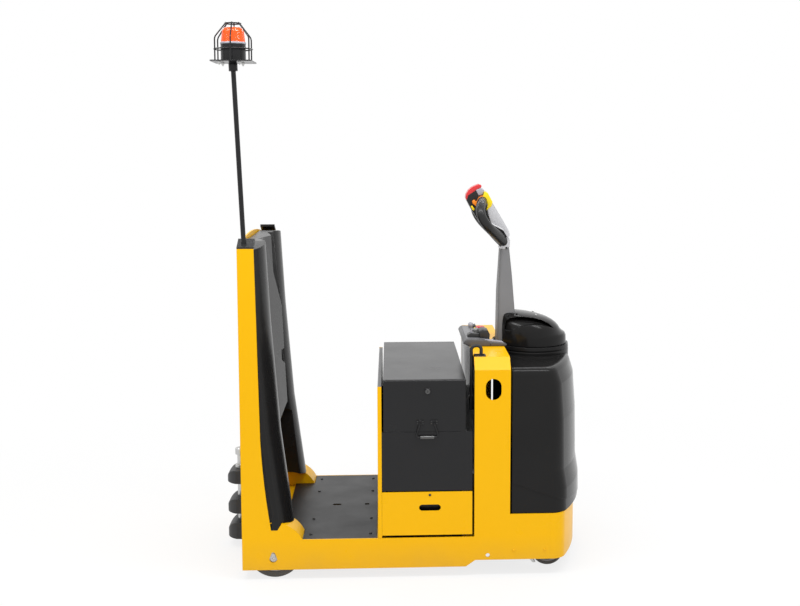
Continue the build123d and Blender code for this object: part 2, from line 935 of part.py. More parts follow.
lock_drop = 44
lock_radius = 13.5
lock_wall = 5
with BuildPart() as lid_lock:
    with BuildSketch(Plane.XZ.offset(lid_y)):
        with Locations((handle_x + 2, lid_top - lock_drop)):
            Circle(lock_radius)
    extrude(amount=lock_wall)
    chamfer(lid_lock.faces().sort_by(Axis.Y)[0].edges(), lock_wall / 4)
finish(lid_lock, "lid_lock")

# Battery lead, held at both ends: up the bulkhead, over the hoop and down through its notch
lead_radius = 6.5
lead_x = column_rear - lead_radius - seat_gap
lead_y = -half_width + bevel_inner + lead_notch_width / 2
lead_down_x = column_rear + 26
lead_points = (
    (lead_x, lead_y + 40, lid_bottom + 60),
    (lead_x, lead_y + 22, lid_top - 40),
    (lead_x, lead_y + 8, hoop_top - 20),
    (lead_x - 3, lead_y - 2, hoop_top + 38),
    (lead_down_x + 4, lead_y - 3, hoop_top + 40),
    (lead_down_x + 2, lead_y, hoop_top - 20),
    (lead_down_x, lead_y + 4, hoop_top - 90),
)
lead_bends = []
for before, corner, after in zip(lead_points, lead_points[1:], lead_points[2:]):
    first, second = Vector(corner) - Vector(before), Vector(after) - Vector(corner)
    half_turn = radians(first.get_angle(second)) / 2
    lead_bends.append(0.45 * min(first.length, second.length) * cos(half_turn) / sin(half_turn))
with BuildPart() as battery_lead:
    with BuildLine() as lead_line:
        FilletPolyline(*lead_points, radius=lead_bends)
    with BuildSketch(Plane(origin=lead_line.line @ 0, z_dir=lead_line.line % 0)):
        Circle(lead_radius)
    sweep(path=lead_line.line)
finish(battery_lead, "battery_lead")

# Console on the hoop: a dash with sloping faces, a switch pod, a key and the stop button
console_rear = column_rear - 22
console_front = column_front - 43
console_height = 62
console_sill = 20
console_lean = 6
console_slope = 30
console_right = 150
console_left = 180
console_edge = 10
console_tail = 55
console_tail_width = 32
console_tail_levels = (18, 39, 47)
console_top = hoop_top + console_height
with BuildPart() as console:
    with BuildSketch(Plane.XZ.offset(console_right)):
        with BuildLine():
            Polyline(
                (console_rear, hoop_top),
                (console_rear - console_lean, hoop_top + console_sill),
                (console_rear + console_slope, console_top),
                (console_front - console_slope, console_top),
                (console_front, hoop_top + console_sill),
                (console_front, hoop_top),
                close=True,
            )
        make_face()
    extrude(amount=-console_right - console_left)
    fillet(console.edges().filter_by(Axis.Y).group_by(Axis.Z)[-1], console_edge)
    tip_rise, heel_rise, root_rise = console_tail_levels
    with BuildSketch(Plane.XZ.offset(console_right)):
        with BuildLine():
            Polyline(
                (console_front - console_slope, hoop_top),
                (console_front - console_slope, hoop_top + root_rise),
                (console_front, hoop_top + root_rise),
                (console_front + 0.75 * console_tail, hoop_top + heel_rise),
                (console_front + console_tail, hoop_top + tip_rise),
                (console_front + console_tail, hoop_top),
                close=True,
            )
        make_face()
    extrude(amount=-console_tail_width)
finish(console, "console")

stop_x = console_rear + 64
stop_y = 90
stop_radius = 20
stop_step = 14
with BuildPart() as emergency_button:
    for step, radius in enumerate((stop_radius - 6, stop_radius)):
        with BuildSketch(Plane.XY.offset(console_top + step * stop_step)):
            with Locations((stop_x, stop_y)):
                Circle(radius)
        extrude(amount=stop_step)
    fillet(emergency_button.faces().sort_by(Axis.Z)[-1].edges(), stop_step / 2)
finish(emergency_button, "emergency_button")

key_x = console_rear + 54
key_y = -60
key_radius = 14
key_collar = 12
key_bow = (24, 6, 20)
with BuildPart() as key_switch:
    with BuildSketch(Plane.XY.offset(console_top)):
        with Locations((key_x, key_y)):
            Circle(key_radius)
    extrude(amount=key_collar)
    with BuildSketch(Plane.XY.offset(console_top + key_collar)):
        with Locations((key_x, key_y)):
            Rectangle(key_bow[0], key_bow[1])
    extrude(amount=key_bow[2])
    fillet(key_switch.edges().filter_by(Axis.Y).group_by(Axis.Z)[-1], key_bow[1])
finish(key_switch, "key_switch")

# Turning steering group: the hood with its swept recesses
hood_foot = collar_top + hood_gap
hood_shoulder = hood_foot + 40
hood_side = hood_foot + 60
hood_brow = hood_foot + 103
hood_crest = hood_foot + 134
hood_front = steer_x + 140.5
hood_brow_x = steer_x + 66.5
hood_rake = 15
hood_draft = 2
hood_seat = arm_rear + 16
swoosh_depth = 9
swoosh_rear = arm_front + 6
swoosh_front = steer_x + 96
swoosh_tip = hood_foot + 44
swoosh_upper = (hood_foot + 78, hood_foot + 84)
swoosh_lower = (hood_foot + 36, hood_foot + 62)
swoosh_middle = steer_x + 10
with BuildPart() as hood_body:
    with BuildSketch(Plane.XZ.offset(hood_radius)):
        with BuildLine():
            Polyline(
                (hood_front, hood_foot),
                (hood_seat, hood_foot),
                (hood_seat, hood_crest - hood_rake),
                (arm_front, hood_crest),
            )
            ThreePointArc((arm_front, hood_crest), (hood_brow_x, hood_brow), (hood_front - 4, hood_shoulder))
            Line((hood_front - 4, hood_shoulder), (hood_front, hood_foot))
        make_face()
    extrude(amount=-2 * hood_radius)
    with BuildSketch(Plane.XY.offset(hood_foot)):
        with Locations((steer_x, 0)):
            Circle(hood_radius)
    extrude(amount=hood_crest, taper=hood_draft, mode=Mode.INTERSECT)
    with BuildSketch(Plane.YZ.offset(arm_rear)):
        with BuildLine():
            arch = ThreePointArc(
                (-hood_radius, hood_side), (0, hood_crest + clearance), (hood_radius, hood_side)
            )
            Polyline(arch @ 1, (hood_radius, hood_foot), (-hood_radius, hood_foot), arch @ 0)
        make_face()
    extrude(amount=2 * hood_radius + turret_radius, mode=Mode.INTERSECT)
with BuildPart() as swoosh:
    with BuildSketch(Plane.XZ.offset(hood_radius)):
        with BuildLine():
            upper = ThreePointArc(
                (swoosh_rear, swoosh_upper[0]), (swoosh_middle, swoosh_upper[1]), (swoosh_front, swoosh_tip)
            )
            lower = ThreePointArc(
                (swoosh_front, swoosh_tip), (swoosh_middle, swoosh_lower[1]), (swoosh_rear, swoosh_lower[0])
            )
            Line(lower @ 1, upper @ 0)
        make_face()
    extrude(amount=-2 * hood_radius)
    with BuildSketch(Plane.XY.offset(hood_foot)):
        with Locations((steer_x, 0)):
            Circle(hood_radius - swoosh_depth)
    extrude(amount=hood_crest, mode=Mode.SUBTRACT)
with BuildPart() as dome_hood:
    add(hood_body.part)
    add(swoosh.part, mode=Mode.SUBTRACT)
    with BuildSketch(Plane.XY.offset(hood_foot)):
        with Locations((arm_front + seat_gap, 0)):
            Rectangle(hood_radius, 2 * (arm_half_base + seat_gap), align=(Align.MAX, Align.CENTER))
    extrude(amount=hood_crest, mode=Mode.SUBTRACT)
finish(dome_hood, "dome_hood")

# Tiller arm
arm_edge = 14
arm_waist_z = 960
arm_knee_z = hood_foot + 53
arm_hip_z = hood_foot + 211
arm_neck_z = arm_top - 116
arm_tip_rear = arm_rear + 13
arm_tip_front = arm_rear + 48
arm_tip_rise = 4
with BuildPart() as tiller_arm:
    with BuildSketch(Plane.XZ.offset(arm_half_base)):
        with BuildLine():
            Polyline(
                (arm_rear, hood_foot),
                (arm_rear + 1, arm_knee_z),
                (arm_rear + 3, arm_hip_z),
                (arm_tip_rear, arm_top),
                (arm_tip_front, arm_top + arm_tip_rise),
                (arm_front - 11, arm_neck_z),
                (arm_front, hood_crest),
                (arm_front, hood_foot),
                close=True,
            )
        make_face()
    extrude(amount=-2 * arm_half_base)
    with BuildSketch(Plane.YZ.offset(arm_rear)):
        with BuildLine():
            Polyline(
                (-arm_half_base, hood_foot),
                (-arm_half_base, arm_waist_z),
                (-arm_half_top, arm_top + arm_tip_rise),
                (arm_half_top, arm_top + arm_tip_rise),
                (arm_half_base, arm_waist_z),
                (arm_half_base, hood_foot),
                close=True,
            )
        make_face()
    extrude(amount=turret_radius, mode=Mode.INTERSECT)
    side_edges = tiller_arm.edges().filter_by(Axis.Y, reverse=True).filter_by(Plane.XZ, reverse=True)
    fillet(side_edges.group_by(Axis.X)[0], arm_edge)
finish(tiller_arm, "tiller_arm")

# Tiller head in the plane of symmetry, its outlines measured from the rear of the arm's tip
core_half = 30
tiller_cover_half = 42
belly_half = 28


def head_outline(offsets):
    """Points of the head from their offsets, along X and Z, to the arm's tip."""
    return [(arm_tip_rear + x, arm_top + z) for x, z in offsets]


with BuildPart() as tiller_core:
    with BuildSketch(Plane.XZ.offset(core_half)):
        with BuildLine():
            foot, *rise, chin = head_outline(
                ((0, 0), (35, 4), (29, 36), (-47, 164), (-68, 216), (-86, 238), (-131, 210), (-137, 189))
            )
            Polyline(foot, *rise, chin)
            ThreePointArc(chin, head_outline(((-93, 112),))[0], foot)
        make_face()
    extrude(amount=-2 * core_half)
finish(tiller_core, "tiller_core")
with BuildPart() as tiller_cover:
    with BuildSketch(Plane.XZ.offset(tiller_cover_half)):
        with BuildLine():
            Polyline(
                *head_outline(
                    (
                        (29.6, 36), (39, 50), (33, 68), (-23, 162), (-43, 196), (-59, 226), (-67, 216.6),
                        (-46.4, 164),
                    )
                ),
                close=True,
            )
        make_face()
    extrude(amount=-2 * tiller_cover_half)
    side_edges = tiller_cover.faces().filter_by(Axis.Y).edges().filter_by(Axis.Y, reverse=True)
    fillet(side_edges.group_by(Axis.X)[-1], sheet)
finish(tiller_cover, "tiller_cover")
with BuildPart() as belly_button:
    with BuildSketch(Plane.XZ.offset(belly_half)):
        with BuildLine():
            foot, corner, head, crown, tail = head_outline(
                ((-138, 190), (-131.5, 210.8), (-86.4, 238.8), (-77, 250), (-142, 204))
            )
            Polyline(tail, foot, corner, head, crown)
            ThreePointArc(crown, head_outline(((-121.5, 235),))[0], tail)
        make_face()
    extrude(amount=-2 * belly_half)
finish(belly_button, "belly_button")

grip_radius = 18
grip_half = 150
grip_bend = 26
with BuildPart() as right_grip:
    (x0, z0), (x1, z1), (x2, z2), (x3, z3), (x4, z4) = head_outline(
        ((4, 26), (-31, 64), (-73, 100), (-96, 152), (-75, 182))
    )
    with BuildLine() as grip_line:
        FilletPolyline(
            (x0, -core_half + grip_radius, z0),
            (x1, -grip_half + 2 * grip_bend, z1),
            (x2, -grip_half, z2),
            (x3, -grip_half, z3),
            (x4, -core_half + grip_radius, z4),
            radius=grip_bend,
        )
    with BuildSketch(Plane(origin=grip_line.line @ 0, z_dir=grip_line.line % 0)):
        Circle(grip_radius)
    sweep(path=grip_line.line)
    with BuildSketch(Plane.XZ.offset(core_half + seat_gap)):
        with Locations(((x1 + x4) / 2, (z0 + z4) / 2)):
            Rectangle(2 * grip_half, 2 * grip_half)
    extrude(amount=-3 * grip_radius, mode=Mode.SUBTRACT)
finish(right_grip, "right_grip")
finish(mirrored(right_grip.part), "left_grip")

# Drive unit: turret on the frame plate, motor and steering shaft, with the leg that holds the wheel
turret_foot = frame_plate_z + frame_plate_wall + seat_gap
leg_half = 52
leg_wall = 34
leg_y = drive_wheel_width / 2 + 8
hub_radius = 20
hub_y = drive_wheel_width / 2 + 10
hub_length = 60
with BuildPart() as drive_unit:
    for foot, top, radius, bore in (
        (turret_foot, turret_cap, turret_radius, turret_bore),
        (turret_cap, turret_cap + turret_cap_wall, turret_radius, 0),
        (turret_cap + turret_cap_wall, motor_top, motor_radius, 0),
        (motor_top, hood_foot, column_radius, 0),
    ):
        with BuildSketch(Plane.XY.offset(foot)):
            with Locations((steer_x, 0)):
                Circle(radius)
                if bore:
                    Circle(bore, mode=Mode.SUBTRACT)
        extrude(amount=top - foot)
    with BuildSketch(Plane.XZ.offset(-leg_y)):
        with Locations((steer_x, drive_wheel_radius)):
            Circle(leg_half)
        with Locations((steer_x, turret_cap)):
            Rectangle(2 * leg_half, turret_cap - drive_wheel_radius, align=(Align.CENTER, Align.MAX))
    extrude(amount=-leg_wall)
    with BuildSketch(Plane.XZ.offset(-hub_y)):
        with Locations((steer_x, drive_wheel_radius)):
            Circle(hub_radius)
    extrude(amount=hub_length)
finish(drive_unit, "drive_unit")

frame_nose_gap = 56
with BuildPart() as drive_frame:
    with BuildSketch(Plane.XY.offset(frame_plate_z)):
        add(nose_face(column_rear + sheet, deck_half, skirt_nose - frame_nose_gap, skirt_bow, skirt_corner))
        with Locations((steer_x, 0)):
            Circle(turret_bore, mode=Mode.SUBTRACT)
    extrude(amount=frame_plate_wall)
finish(drive_frame, "drive_frame")

# Wheels: solid tyres on dished rims
tyre_edge = 5
rim_inset = 2
dish_margin = 8
hub_margin = 14


def wheel(name, centre, radius, width, wall, bore, dish_depth):
    """A tyre and its rim, on an axle along Y."""
    x, y, z = centre
    with BuildPart() as tyre:
        with BuildSketch(Plane.XZ.offset(-y - width / 2)):
            with Locations((x, z)):
                Circle(radius)
                Circle(radius - wall, mode=Mode.SUBTRACT)
        extrude(amount=width)
        fillet(tyre.edges().filter_by(GeomType.CIRCLE).sort_by(SortBy.RADIUS)[-2:], min(tyre_edge, wall / 3))
    finish(tyre, f"{name}_tyre")
    with BuildPart() as rim:
        with BuildSketch(Plane.XZ.offset(-y - width / 2 + rim_inset)):
            with Locations((x, z)):
                Circle(radius - wall)
                Circle(bore, mode=Mode.SUBTRACT)
        extrude(amount=width - 2 * rim_inset)
        for side in (-1, 1):
            with BuildSketch(Plane.XZ.offset(-y + side * (width / 2 - rim_inset))):
                with Locations((x, z)):
                    Circle(radius - wall - dish_margin)
                    Circle(bore + hub_margin, mode=Mode.SUBTRACT)
            extrude(amount=-side * dish_depth, mode=Mode.SUBTRACT)
    finish(rim, f"{name}_rim")


drive_dish = 14
rear_dish = 18
castor_dish = 8
castor_tyre_wall = 12
castor_pin_radius = 6
wheel(
    "drive",
    (steer_x, 0, drive_wheel_radius),
    drive_wheel_radius,
    drive_wheel_width,
    drive_tyre_wall,
    hub_radius + seat_gap,
    drive_dish,
)
rear_wheel_y = deck_half - rear_wheel_gap - rear_wheel_width / 2
for name, side in (("right_rear", -1), ("left_rear", 1)):
    wheel(
        name,
        (rear_axle_x, side * rear_wheel_y, rear_wheel_radius),
        rear_wheel_radius,
        rear_wheel_width,
        rear_tyre_wall,
        rear_axle_radius + seat_gap,
        rear_dish,
    )

# Rear axle stubs with their keepers
keeper_drop = 8
with BuildPart() as right_axle:
    with BuildSketch(Plane.XZ.offset(cheek_y)):
        with Locations((rear_axle_x, rear_wheel_radius)):
            Circle(rear_axle_radius)
    extrude(amount=deck_half - cheek_y)
    with BuildSketch(Plane.XZ.offset(deck_half - keeper_wall)):
        with Locations((rear_axle_x, rear_wheel_radius - keeper_drop)):
            Circle(keeper_radius)
    extrude(amount=keeper_wall)
finish(both_sides(right_axle.part), "rear_axles")

# Castors: a swivel head, two cheeks and the wheel's pin
swivel_radius = 38
swivel_neck = 24
crown_wall = 22
cheek_wall = 5
cheek_gap = 4
cheek_rear = 34
cheek_front = 50
cheek_foot_half = 20
cheek_foot_drop = 14
wheel_room = 34
guard_gap = 6
guard_reach = 54
guard_foot = 14
guard_toe = 24
guard_levels = (100, 48)
for name, side in (("right_castor", -1), ("left_castor", 1)):
    centre_y = side * castor_y
    fork_half = castor_wheel_width / 2 + cheek_gap
    wheel_x = castor_x + castor_trail
    with BuildPart() as fork:
        for foot, top, radius in (
            (castor_head - crown_wall, castor_head, swivel_radius),
            (castor_head, frame_plate_z - seat_gap, swivel_neck),
        ):
            with BuildSketch(Plane.XY.offset(foot)):
                with Locations((castor_x, centre_y)):
                    Circle(radius)
            extrude(amount=top - foot)
        with BuildSketch(Plane.XZ.offset(-centre_y - fork_half - cheek_wall)):
            with BuildLine():
                Polyline(
                    (castor_x - cheek_rear, castor_head - crown_wall),
                    (castor_x + cheek_front, castor_head - crown_wall),
                    (wheel_x + cheek_foot_half, castor_wheel_radius),
                )
                ThreePointArc(
                    (wheel_x + cheek_foot_half, castor_wheel_radius),
                    (wheel_x, castor_wheel_radius - cheek_foot_drop),
                    (wheel_x - cheek_foot_half, castor_wheel_radius),
                )
                Line(
                    (wheel_x - cheek_foot_half, castor_wheel_radius),
                    (castor_x - cheek_rear, castor_head - crown_wall),
                )
            make_face()
        extrude(amount=2 * (fork_half + cheek_wall))
        with BuildSketch(Plane.XZ.offset(-centre_y - fork_half)):
            with Locations((wheel_x, castor_wheel_radius)):
                Rectangle(4 * castor_wheel_radius, 2 * (castor_head - wheel_room - castor_wheel_radius))
        extrude(amount=2 * fork_half, mode=Mode.SUBTRACT)
        # the guard behind the wheel
        with BuildSketch(Plane.XZ.offset(-centre_y - fork_half - cheek_wall)):
            with BuildLine():
                Polyline(
                    (castor_x - cheek_rear, castor_head - crown_wall / 2),
                    (castor_x - guard_reach, guard_levels[0]),
                    (castor_x - guard_reach, guard_levels[1]),
                    (castor_x - guard_toe, guard_foot),
                    (wheel_x, guard_foot),
                    (wheel_x, castor_wheel_radius),
                    (castor_x, castor_head - crown_wall / 2),
                    close=True,
                )
            make_face()
            with Locations((wheel_x, castor_wheel_radius)):
                Circle(castor_wheel_radius + guard_gap, mode=Mode.SUBTRACT)
        extrude(amount=2 * (fork_half + cheek_wall))
        with BuildSketch(Plane.XZ.offset(-centre_y - fork_half)):
            with Locations((wheel_x, castor_wheel_radius)):
                Circle(castor_pin_radius)
        extrude(amount=2 * fork_half)
    finish(fork, f"{name}_fork")
    wheel(
        name,
        (wheel_x, centre_y, castor_wheel_radius),
        castor_wheel_radius,
        castor_wheel_width,
        castor_tyre_wall,
        castor_pin_radius + seat_gap,
        castor_dish,
    )
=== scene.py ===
"""Dress the stand-on tow tractor: finishes, small fasteners, tiller head, console, beacon and stage.

All lengths are in metres, X forward and Z up, with the origin on the floor.
"""

from math import cos, pi, radians, sin

import bpy
from mathutils import Matrix, Vector


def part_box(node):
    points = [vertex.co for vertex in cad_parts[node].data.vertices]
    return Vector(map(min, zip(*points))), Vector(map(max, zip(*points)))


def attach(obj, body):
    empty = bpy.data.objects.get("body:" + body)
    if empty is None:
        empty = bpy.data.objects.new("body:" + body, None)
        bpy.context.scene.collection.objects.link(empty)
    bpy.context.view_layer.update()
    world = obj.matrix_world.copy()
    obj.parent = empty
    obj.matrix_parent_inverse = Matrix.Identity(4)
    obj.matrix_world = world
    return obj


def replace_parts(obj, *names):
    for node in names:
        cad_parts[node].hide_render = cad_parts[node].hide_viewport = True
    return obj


bl_info = {
    "name": "Tow tractor dressing",
    "version": (1, 0, 0),
    "blender": (4, 5, 0),
    "location": "View3D > Sidebar > Tractor",
    "description": "Finishes, fittings and stage for a stand-on electric tow tractor",
    "category": "Object",
}

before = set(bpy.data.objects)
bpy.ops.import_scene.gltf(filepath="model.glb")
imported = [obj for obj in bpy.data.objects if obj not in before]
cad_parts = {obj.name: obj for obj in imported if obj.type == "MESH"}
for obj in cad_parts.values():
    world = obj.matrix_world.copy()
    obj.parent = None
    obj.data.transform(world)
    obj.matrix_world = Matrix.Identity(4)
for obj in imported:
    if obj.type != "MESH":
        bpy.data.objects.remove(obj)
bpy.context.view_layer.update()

SIDES = (("right", -1), ("left", 1))
UP = Vector((0, 0, 1))
DOWN = Vector((0, 0, -1))
# further out along Y than any plate
OUTSIDE = 0.6


def colour_setting(name, description, default):
    """A colour that a user may change."""
    return bpy.props.FloatVectorProperty(name=name, description=description, default=default, subtype="COLOR")


def length_setting(name, description, default, precision=4):
    """A length that a user may change."""
    return bpy.props.FloatProperty(
        name=name, description=description, default=default, unit="LENGTH", precision=precision
    )


class FinishSettings(bpy.types.PropertyGroup):
    """Colours and surface sizes of the machine's finishes."""

    body_yellow: colour_setting("Body yellow", "Powder coat of plates and doors", (0.94, 0.5, 0.0008))
    moulded_black: colour_setting("Moulded black", "Cover, hood and backrest", (0.0115, 0.0112, 0.0112))
    frame_black: colour_setting("Frame black", "Painted battery box and frame", (0.009, 0.009, 0.01))
    arm_grey: colour_setting("Arm grey", "Painted casting of the tiller arm", (0.19, 0.19, 0.195))
    silver: colour_setting("Silver", "Tiller cover and neck", (0.56, 0.56, 0.58))
    signal_red: colour_setting("Signal red", "Belly switch and stop button", (0.62, 0.018, 0.022))
    switch_orange: colour_setting("Switch orange", "Thumb switches", (0.92, 0.25, 0.004))
    insert_yellow: colour_setting("Insert yellow", "Insert of the tiller head", (0.92, 0.68, 0.004))
    edge_radius: length_setting("Edge radius", "Rounding of folded sheet edges", 0.0015)
    coat_ripple: length_setting("Coat ripple", "Height of the powder coat's ripple", 0.00004, 6)


class FittingSettings(bpy.types.PropertyGroup):
    """Sizes of the fittings."""

    bolt_radius: length_setting("Bolt radius", "Half the width of a large hexagon head", 0.0085)
    screw_radius: length_setting("Screw radius", "Radius of a small socket head", 0.0042)
    grip_radius: length_setting("Grip radius", "Thickness of the tiller's side loops", 0.0205)


class StageSettings(bpy.types.PropertyGroup):
    """Camera and light."""

    camera_place: bpy.props.FloatVectorProperty(
        name="Camera place", description="Where the camera stands", default=(-0.047, -4.366, 1.668),
        subtype="XYZ", unit="LENGTH",
    )
    camera_pitch: bpy.props.FloatProperty(
        name="Camera pitch", description="How far the camera looks down", default=0.1, subtype="ANGLE"
    )
    camera_yaw: bpy.props.FloatProperty(
        name="Camera yaw", description="How far the camera is turned to its left", default=-0.0469,
        subtype="ANGLE",
    )
    lens: bpy.props.FloatProperty(name="Lens", description="Focal length in millimetres", default=48.28)
    shift_x: bpy.props.FloatProperty(name="Shift X", description="Sideways framing", default=-0.051)
    shift_y: bpy.props.FloatProperty(name="Shift Y", description="Upright framing", default=-0.069)
    key_power: bpy.props.FloatProperty(
        name="Key power", description="Power of the near overhead light in watts", default=62
    )
    fill: bpy.props.FloatProperty(
        name="Fill", description="Strength of the light from all round", default=0.71
    )


def finishes():
    """The colours and surface sizes as they are set."""
    return bpy.context.scene.tug_finish


def fittings():
    """The fittings' sizes as they are set."""
    return bpy.context.scene.tug_fittings


# Shader nodes


def set_inputs(tree, node, inputs):
    """Set a node's inputs to values or link them to sockets."""
    for label, value in inputs.items():
        if isinstance(value, bpy.types.NodeSocket):
            tree.links.new(value, node.inputs[label])
        else:
            node.inputs[label].default_value = value


def add_node(tree, kind, inputs=None, **settings):
    """A shader node with its settings and inputs."""
    node = tree.nodes.new(f"ShaderNode{kind}")
    for name, value in settings.items():
        setattr(node, name, value)
    set_inputs(tree, node, inputs or {})
    return node


def math_node(tree, operation, first, second):
    """A maths node on two values or sockets, kept between 0 and 1 where it adds or multiplies."""
    clamp = operation in ("MULTIPLY", "ADD")
    node = add_node(tree, "Math", {0: first, 1: second}, operation=operation, use_clamp=clamp)
    return node.outputs[0]


def new_material(name):
    """A material with nodes, its tree and its shader."""
    material = bpy.data.materials.new(name)
    material.use_nodes = True
    return material, material.node_tree, material.node_tree.nodes["Principled BSDF"]


def new_group(name, inputs, outputs):
    """A node group with named sockets, and the sockets that it is given."""
    group = bpy.data.node_groups.new(name, "ShaderNodeTree")
    for label, kind, value in inputs:
        socket = group.interface.new_socket(label, in_out="INPUT", socket_type=kind)
        if value is not None:
            socket.default_value = value
    for label, kind in outputs:
        group.interface.new_socket(label, in_out="OUTPUT", socket_type=kind)
    return group, group.nodes.new("NodeGroupInput").outputs


def put_out(group, outputs):
    """Link what a group puts out."""
    set_inputs(group, group.nodes.new("NodeGroupOutput"), outputs)
    return group


def edge_group():
    """Rounded edges, with a mask of where they are."""
    group, given = new_group(
        "Rounded edges",
        [("Radius", "NodeSocketFloat", 0.0015), ("Sharpness", "NodeSocketFloat", 6.0)],
        [("Normal", "NodeSocketVector"), ("Mask", "NodeSocketFloat")],
    )
    rounded = add_node(group, "Bevel", {"Radius": given["Radius"]}, samples=4).outputs["Normal"]
    flat = add_node(group, "NewGeometry").outputs["Normal"]
    dot = add_node(group, "VectorMath", {0: rounded, 1: flat}, operation="DOT_PRODUCT")
    turned_away = math_node(group, "SUBTRACT", 1.0, dot.outputs["Value"])
    mask = math_node(group, "MULTIPLY", turned_away, given["Sharpness"])
    return put_out(group, {"Normal": rounded, "Mask": mask})


def grain_group():
    """Fine ripple or grain, as a normal and a value."""
    group, given = new_group(
        "Surface grain",
        [
            ("Normal", "NodeSocketVector", None),
            ("Scale", "NodeSocketFloat", 300.0),
            ("Height", "NodeSocketFloat", 0.0001),
            ("Roughness", "NodeSocketFloat", 0.5),
        ],
        [("Normal", "NodeSocketVector"), ("Value", "NodeSocketFloat")],
    )
    place = add_node(group, "TexCoord").outputs["Object"]
    noise = add_node(
        group, "TexNoise",
        {"Vector": place, "Scale": given["Scale"], "Roughness": given["Roughness"], "Detail": 3},
    )
    bump = add_node(
        group, "Bump",
        {"Height": noise.outputs["Fac"], "Distance": given["Height"], "Normal": given["Normal"]},
    )
    return put_out(group, {"Normal": bump.outputs["Normal"], "Value": noise.outputs["Fac"]})


def mottle_group():
    """A colour that varies softly over the surface, dusty near the floor, with painted light on the edges: a
    painted highlight where the edge colour is lighter, painted shade where it is darker.
    """
    group, given = new_group(
        "Colour variation",
        [
            ("Colour", "NodeSocketColor", (0.5, 0.5, 0.5, 1)),
            ("Edge colour", "NodeSocketColor", (0.5, 0.5, 0.5, 1)),
            ("Dust colour", "NodeSocketColor", (0.16, 0.145, 0.125, 1)),
            ("Edge", "NodeSocketFloat", 0.0),
            ("Amount", "NodeSocketFloat", 0.1),
            ("Dust", "NodeSocketFloat", 0.0),
        ],
        [("Colour", "NodeSocketColor"), ("Cloud", "NodeSocketFloat")],
    )
    place = add_node(group, "TexCoord").outputs["Object"]
    cloud = add_node(group, "TexNoise", {"Vector": place, "Scale": 7, "Detail": 4}).outputs["Fac"]
    split = add_node(group, "SeparateXYZ", {"Vector": place})
    near_floor = add_node(
        group, "MapRange",
        {"Value": split.outputs["Z"], "From Min": 0.16, "From Max": 0.0, "To Min": 0.0, "To Max": 1.0},
    )
    spread = math_node(group, "SUBTRACT", cloud, 0.5)
    gain = add_node(group, "Math", {0: spread, 1: given["Amount"], 2: 1}, operation="MULTIPLY_ADD")
    shade = add_node(group, "HueSaturation", {"Value": gain.outputs[0], "Color": given["Colour"]})
    edge = add_node(
        group, "Mix", {"Factor": given["Edge"], "A": shade.outputs["Color"], "B": given["Edge colour"]},
        data_type="RGBA",
    )
    low = math_node(group, "MULTIPLY", near_floor.outputs["Result"], given["Dust"])
    patchy = math_node(group, "MULTIPLY", low, cloud)
    dust = add_node(
        group, "Mix", {"Factor": patchy, "A": edge.outputs["Result"], "B": given["Dust colour"]},
        data_type="RGBA",
    )
    return put_out(group, {"Colour": dust.outputs["Result"], "Cloud": cloud})


def ribs_group():
    """Ridges in rings round a wheel's axle, as a height."""
    group, given = new_group(
        "Ridges",
        [
            ("Centre", "NodeSocketVector", (0, 0, 0)),
            ("Scale", "NodeSocketVector", (1, 1, 1)),
            ("Pitch", "NodeSocketFloat", 200.0),
        ],
        [("Height", "NodeSocketFloat")],
    )
    place = add_node(group, "TexCoord").outputs["Object"]
    shift = add_node(group, "VectorMath", {0: place, 1: given["Centre"]}, operation="SUBTRACT")
    from_axle = shift.outputs["Vector"]
    flat = add_node(group, "VectorMath", {0: from_axle, 1: given["Scale"]}, operation="MULTIPLY")
    length = add_node(group, "VectorMath", {0: flat.outputs["Vector"]}, operation="LENGTH")
    turns = add_node(group, "Math", {0: length.outputs["Value"], 1: given["Pitch"]}, operation="MULTIPLY")
    wave = add_node(group, "Math", {0: turns.outputs[0]}, operation="SINE")
    return put_out(group, {"Height": wave.outputs[0]})


GROUPS = {}


def place_group(tree, name, inputs):
    """Put a node group in a material with its values and links."""
    return add_node(tree, "Group", inputs, node_tree=GROUPS[name])


def rgba(colour, gain=1.0):
    """A colour with full alpha, lightened or darkened by the gain."""
    return (*[min(1, c * gain) for c in colour], 1)


def finish(name, colour, roughness, **extra):
    """A material from its colour, roughness and the surface details that it has."""
    details = {
        "metallic": 0.0, "specular": 0.5, "coat": 0.0, "edge_gain": 1.6, "edge_amount": 0.5,
        "edge_radius": finishes().edge_radius, "amount": 0.08, "dust": 0.0, "scale": 420.0,
        "height": finishes().coat_ripple, "spread": 0.08, "rings": None, "ring_height": 0.0003,
    }
    details.update(extra)
    material, tree, shader = new_material(name)
    edges = place_group(tree, "edges", {"Radius": details["edge_radius"], "Sharpness": 6.0})
    # painted light on the rounded edges: a lighter edge colour is a painted highlight, a darker one (gain
    # below 1, as on the arm) is painted shade
    painted_edge_light = math_node(tree, "MULTIPLY", edges.outputs["Mask"], details["edge_amount"])
    mottle = place_group(
        tree, "mottle",
        {
            "Colour": rgba(colour), "Edge colour": rgba(colour, details["edge_gain"]), "Edge": painted_edge_light,
            "Amount": details["amount"], "Dust": details["dust"],
        },
    )
    grain = place_group(
        tree, "grain",
        {"Normal": edges.outputs["Normal"], "Scale": details["scale"], "Height": details["height"]},
    )
    normal = grain.outputs["Normal"]
    if details["rings"]:
        ridges = place_group(tree, "ridges", details["rings"])
        bump = add_node(
            tree, "Bump",
            {"Height": ridges.outputs["Height"], "Distance": details["ring_height"], "Normal": normal},
        )
        normal = bump.outputs["Normal"]
    smoothest = max(0.02, roughness - details["spread"])
    roughest = min(1, roughness + details["spread"])
    uneven = add_node(
        tree, "MapRange", {"Value": mottle.outputs["Cloud"], "To Min": smoothest, "To Max": roughest}
    )
    set_inputs(
        tree, shader,
        {
            "Metallic": details["metallic"], "Specular IOR Level": details["specular"],
            "Coat Weight": details["coat"], "Coat Roughness": 0.08, "Base Color": mottle.outputs["Colour"],
            "Roughness": uneven.outputs["Result"], "Normal": normal,
        },
    )
    return material


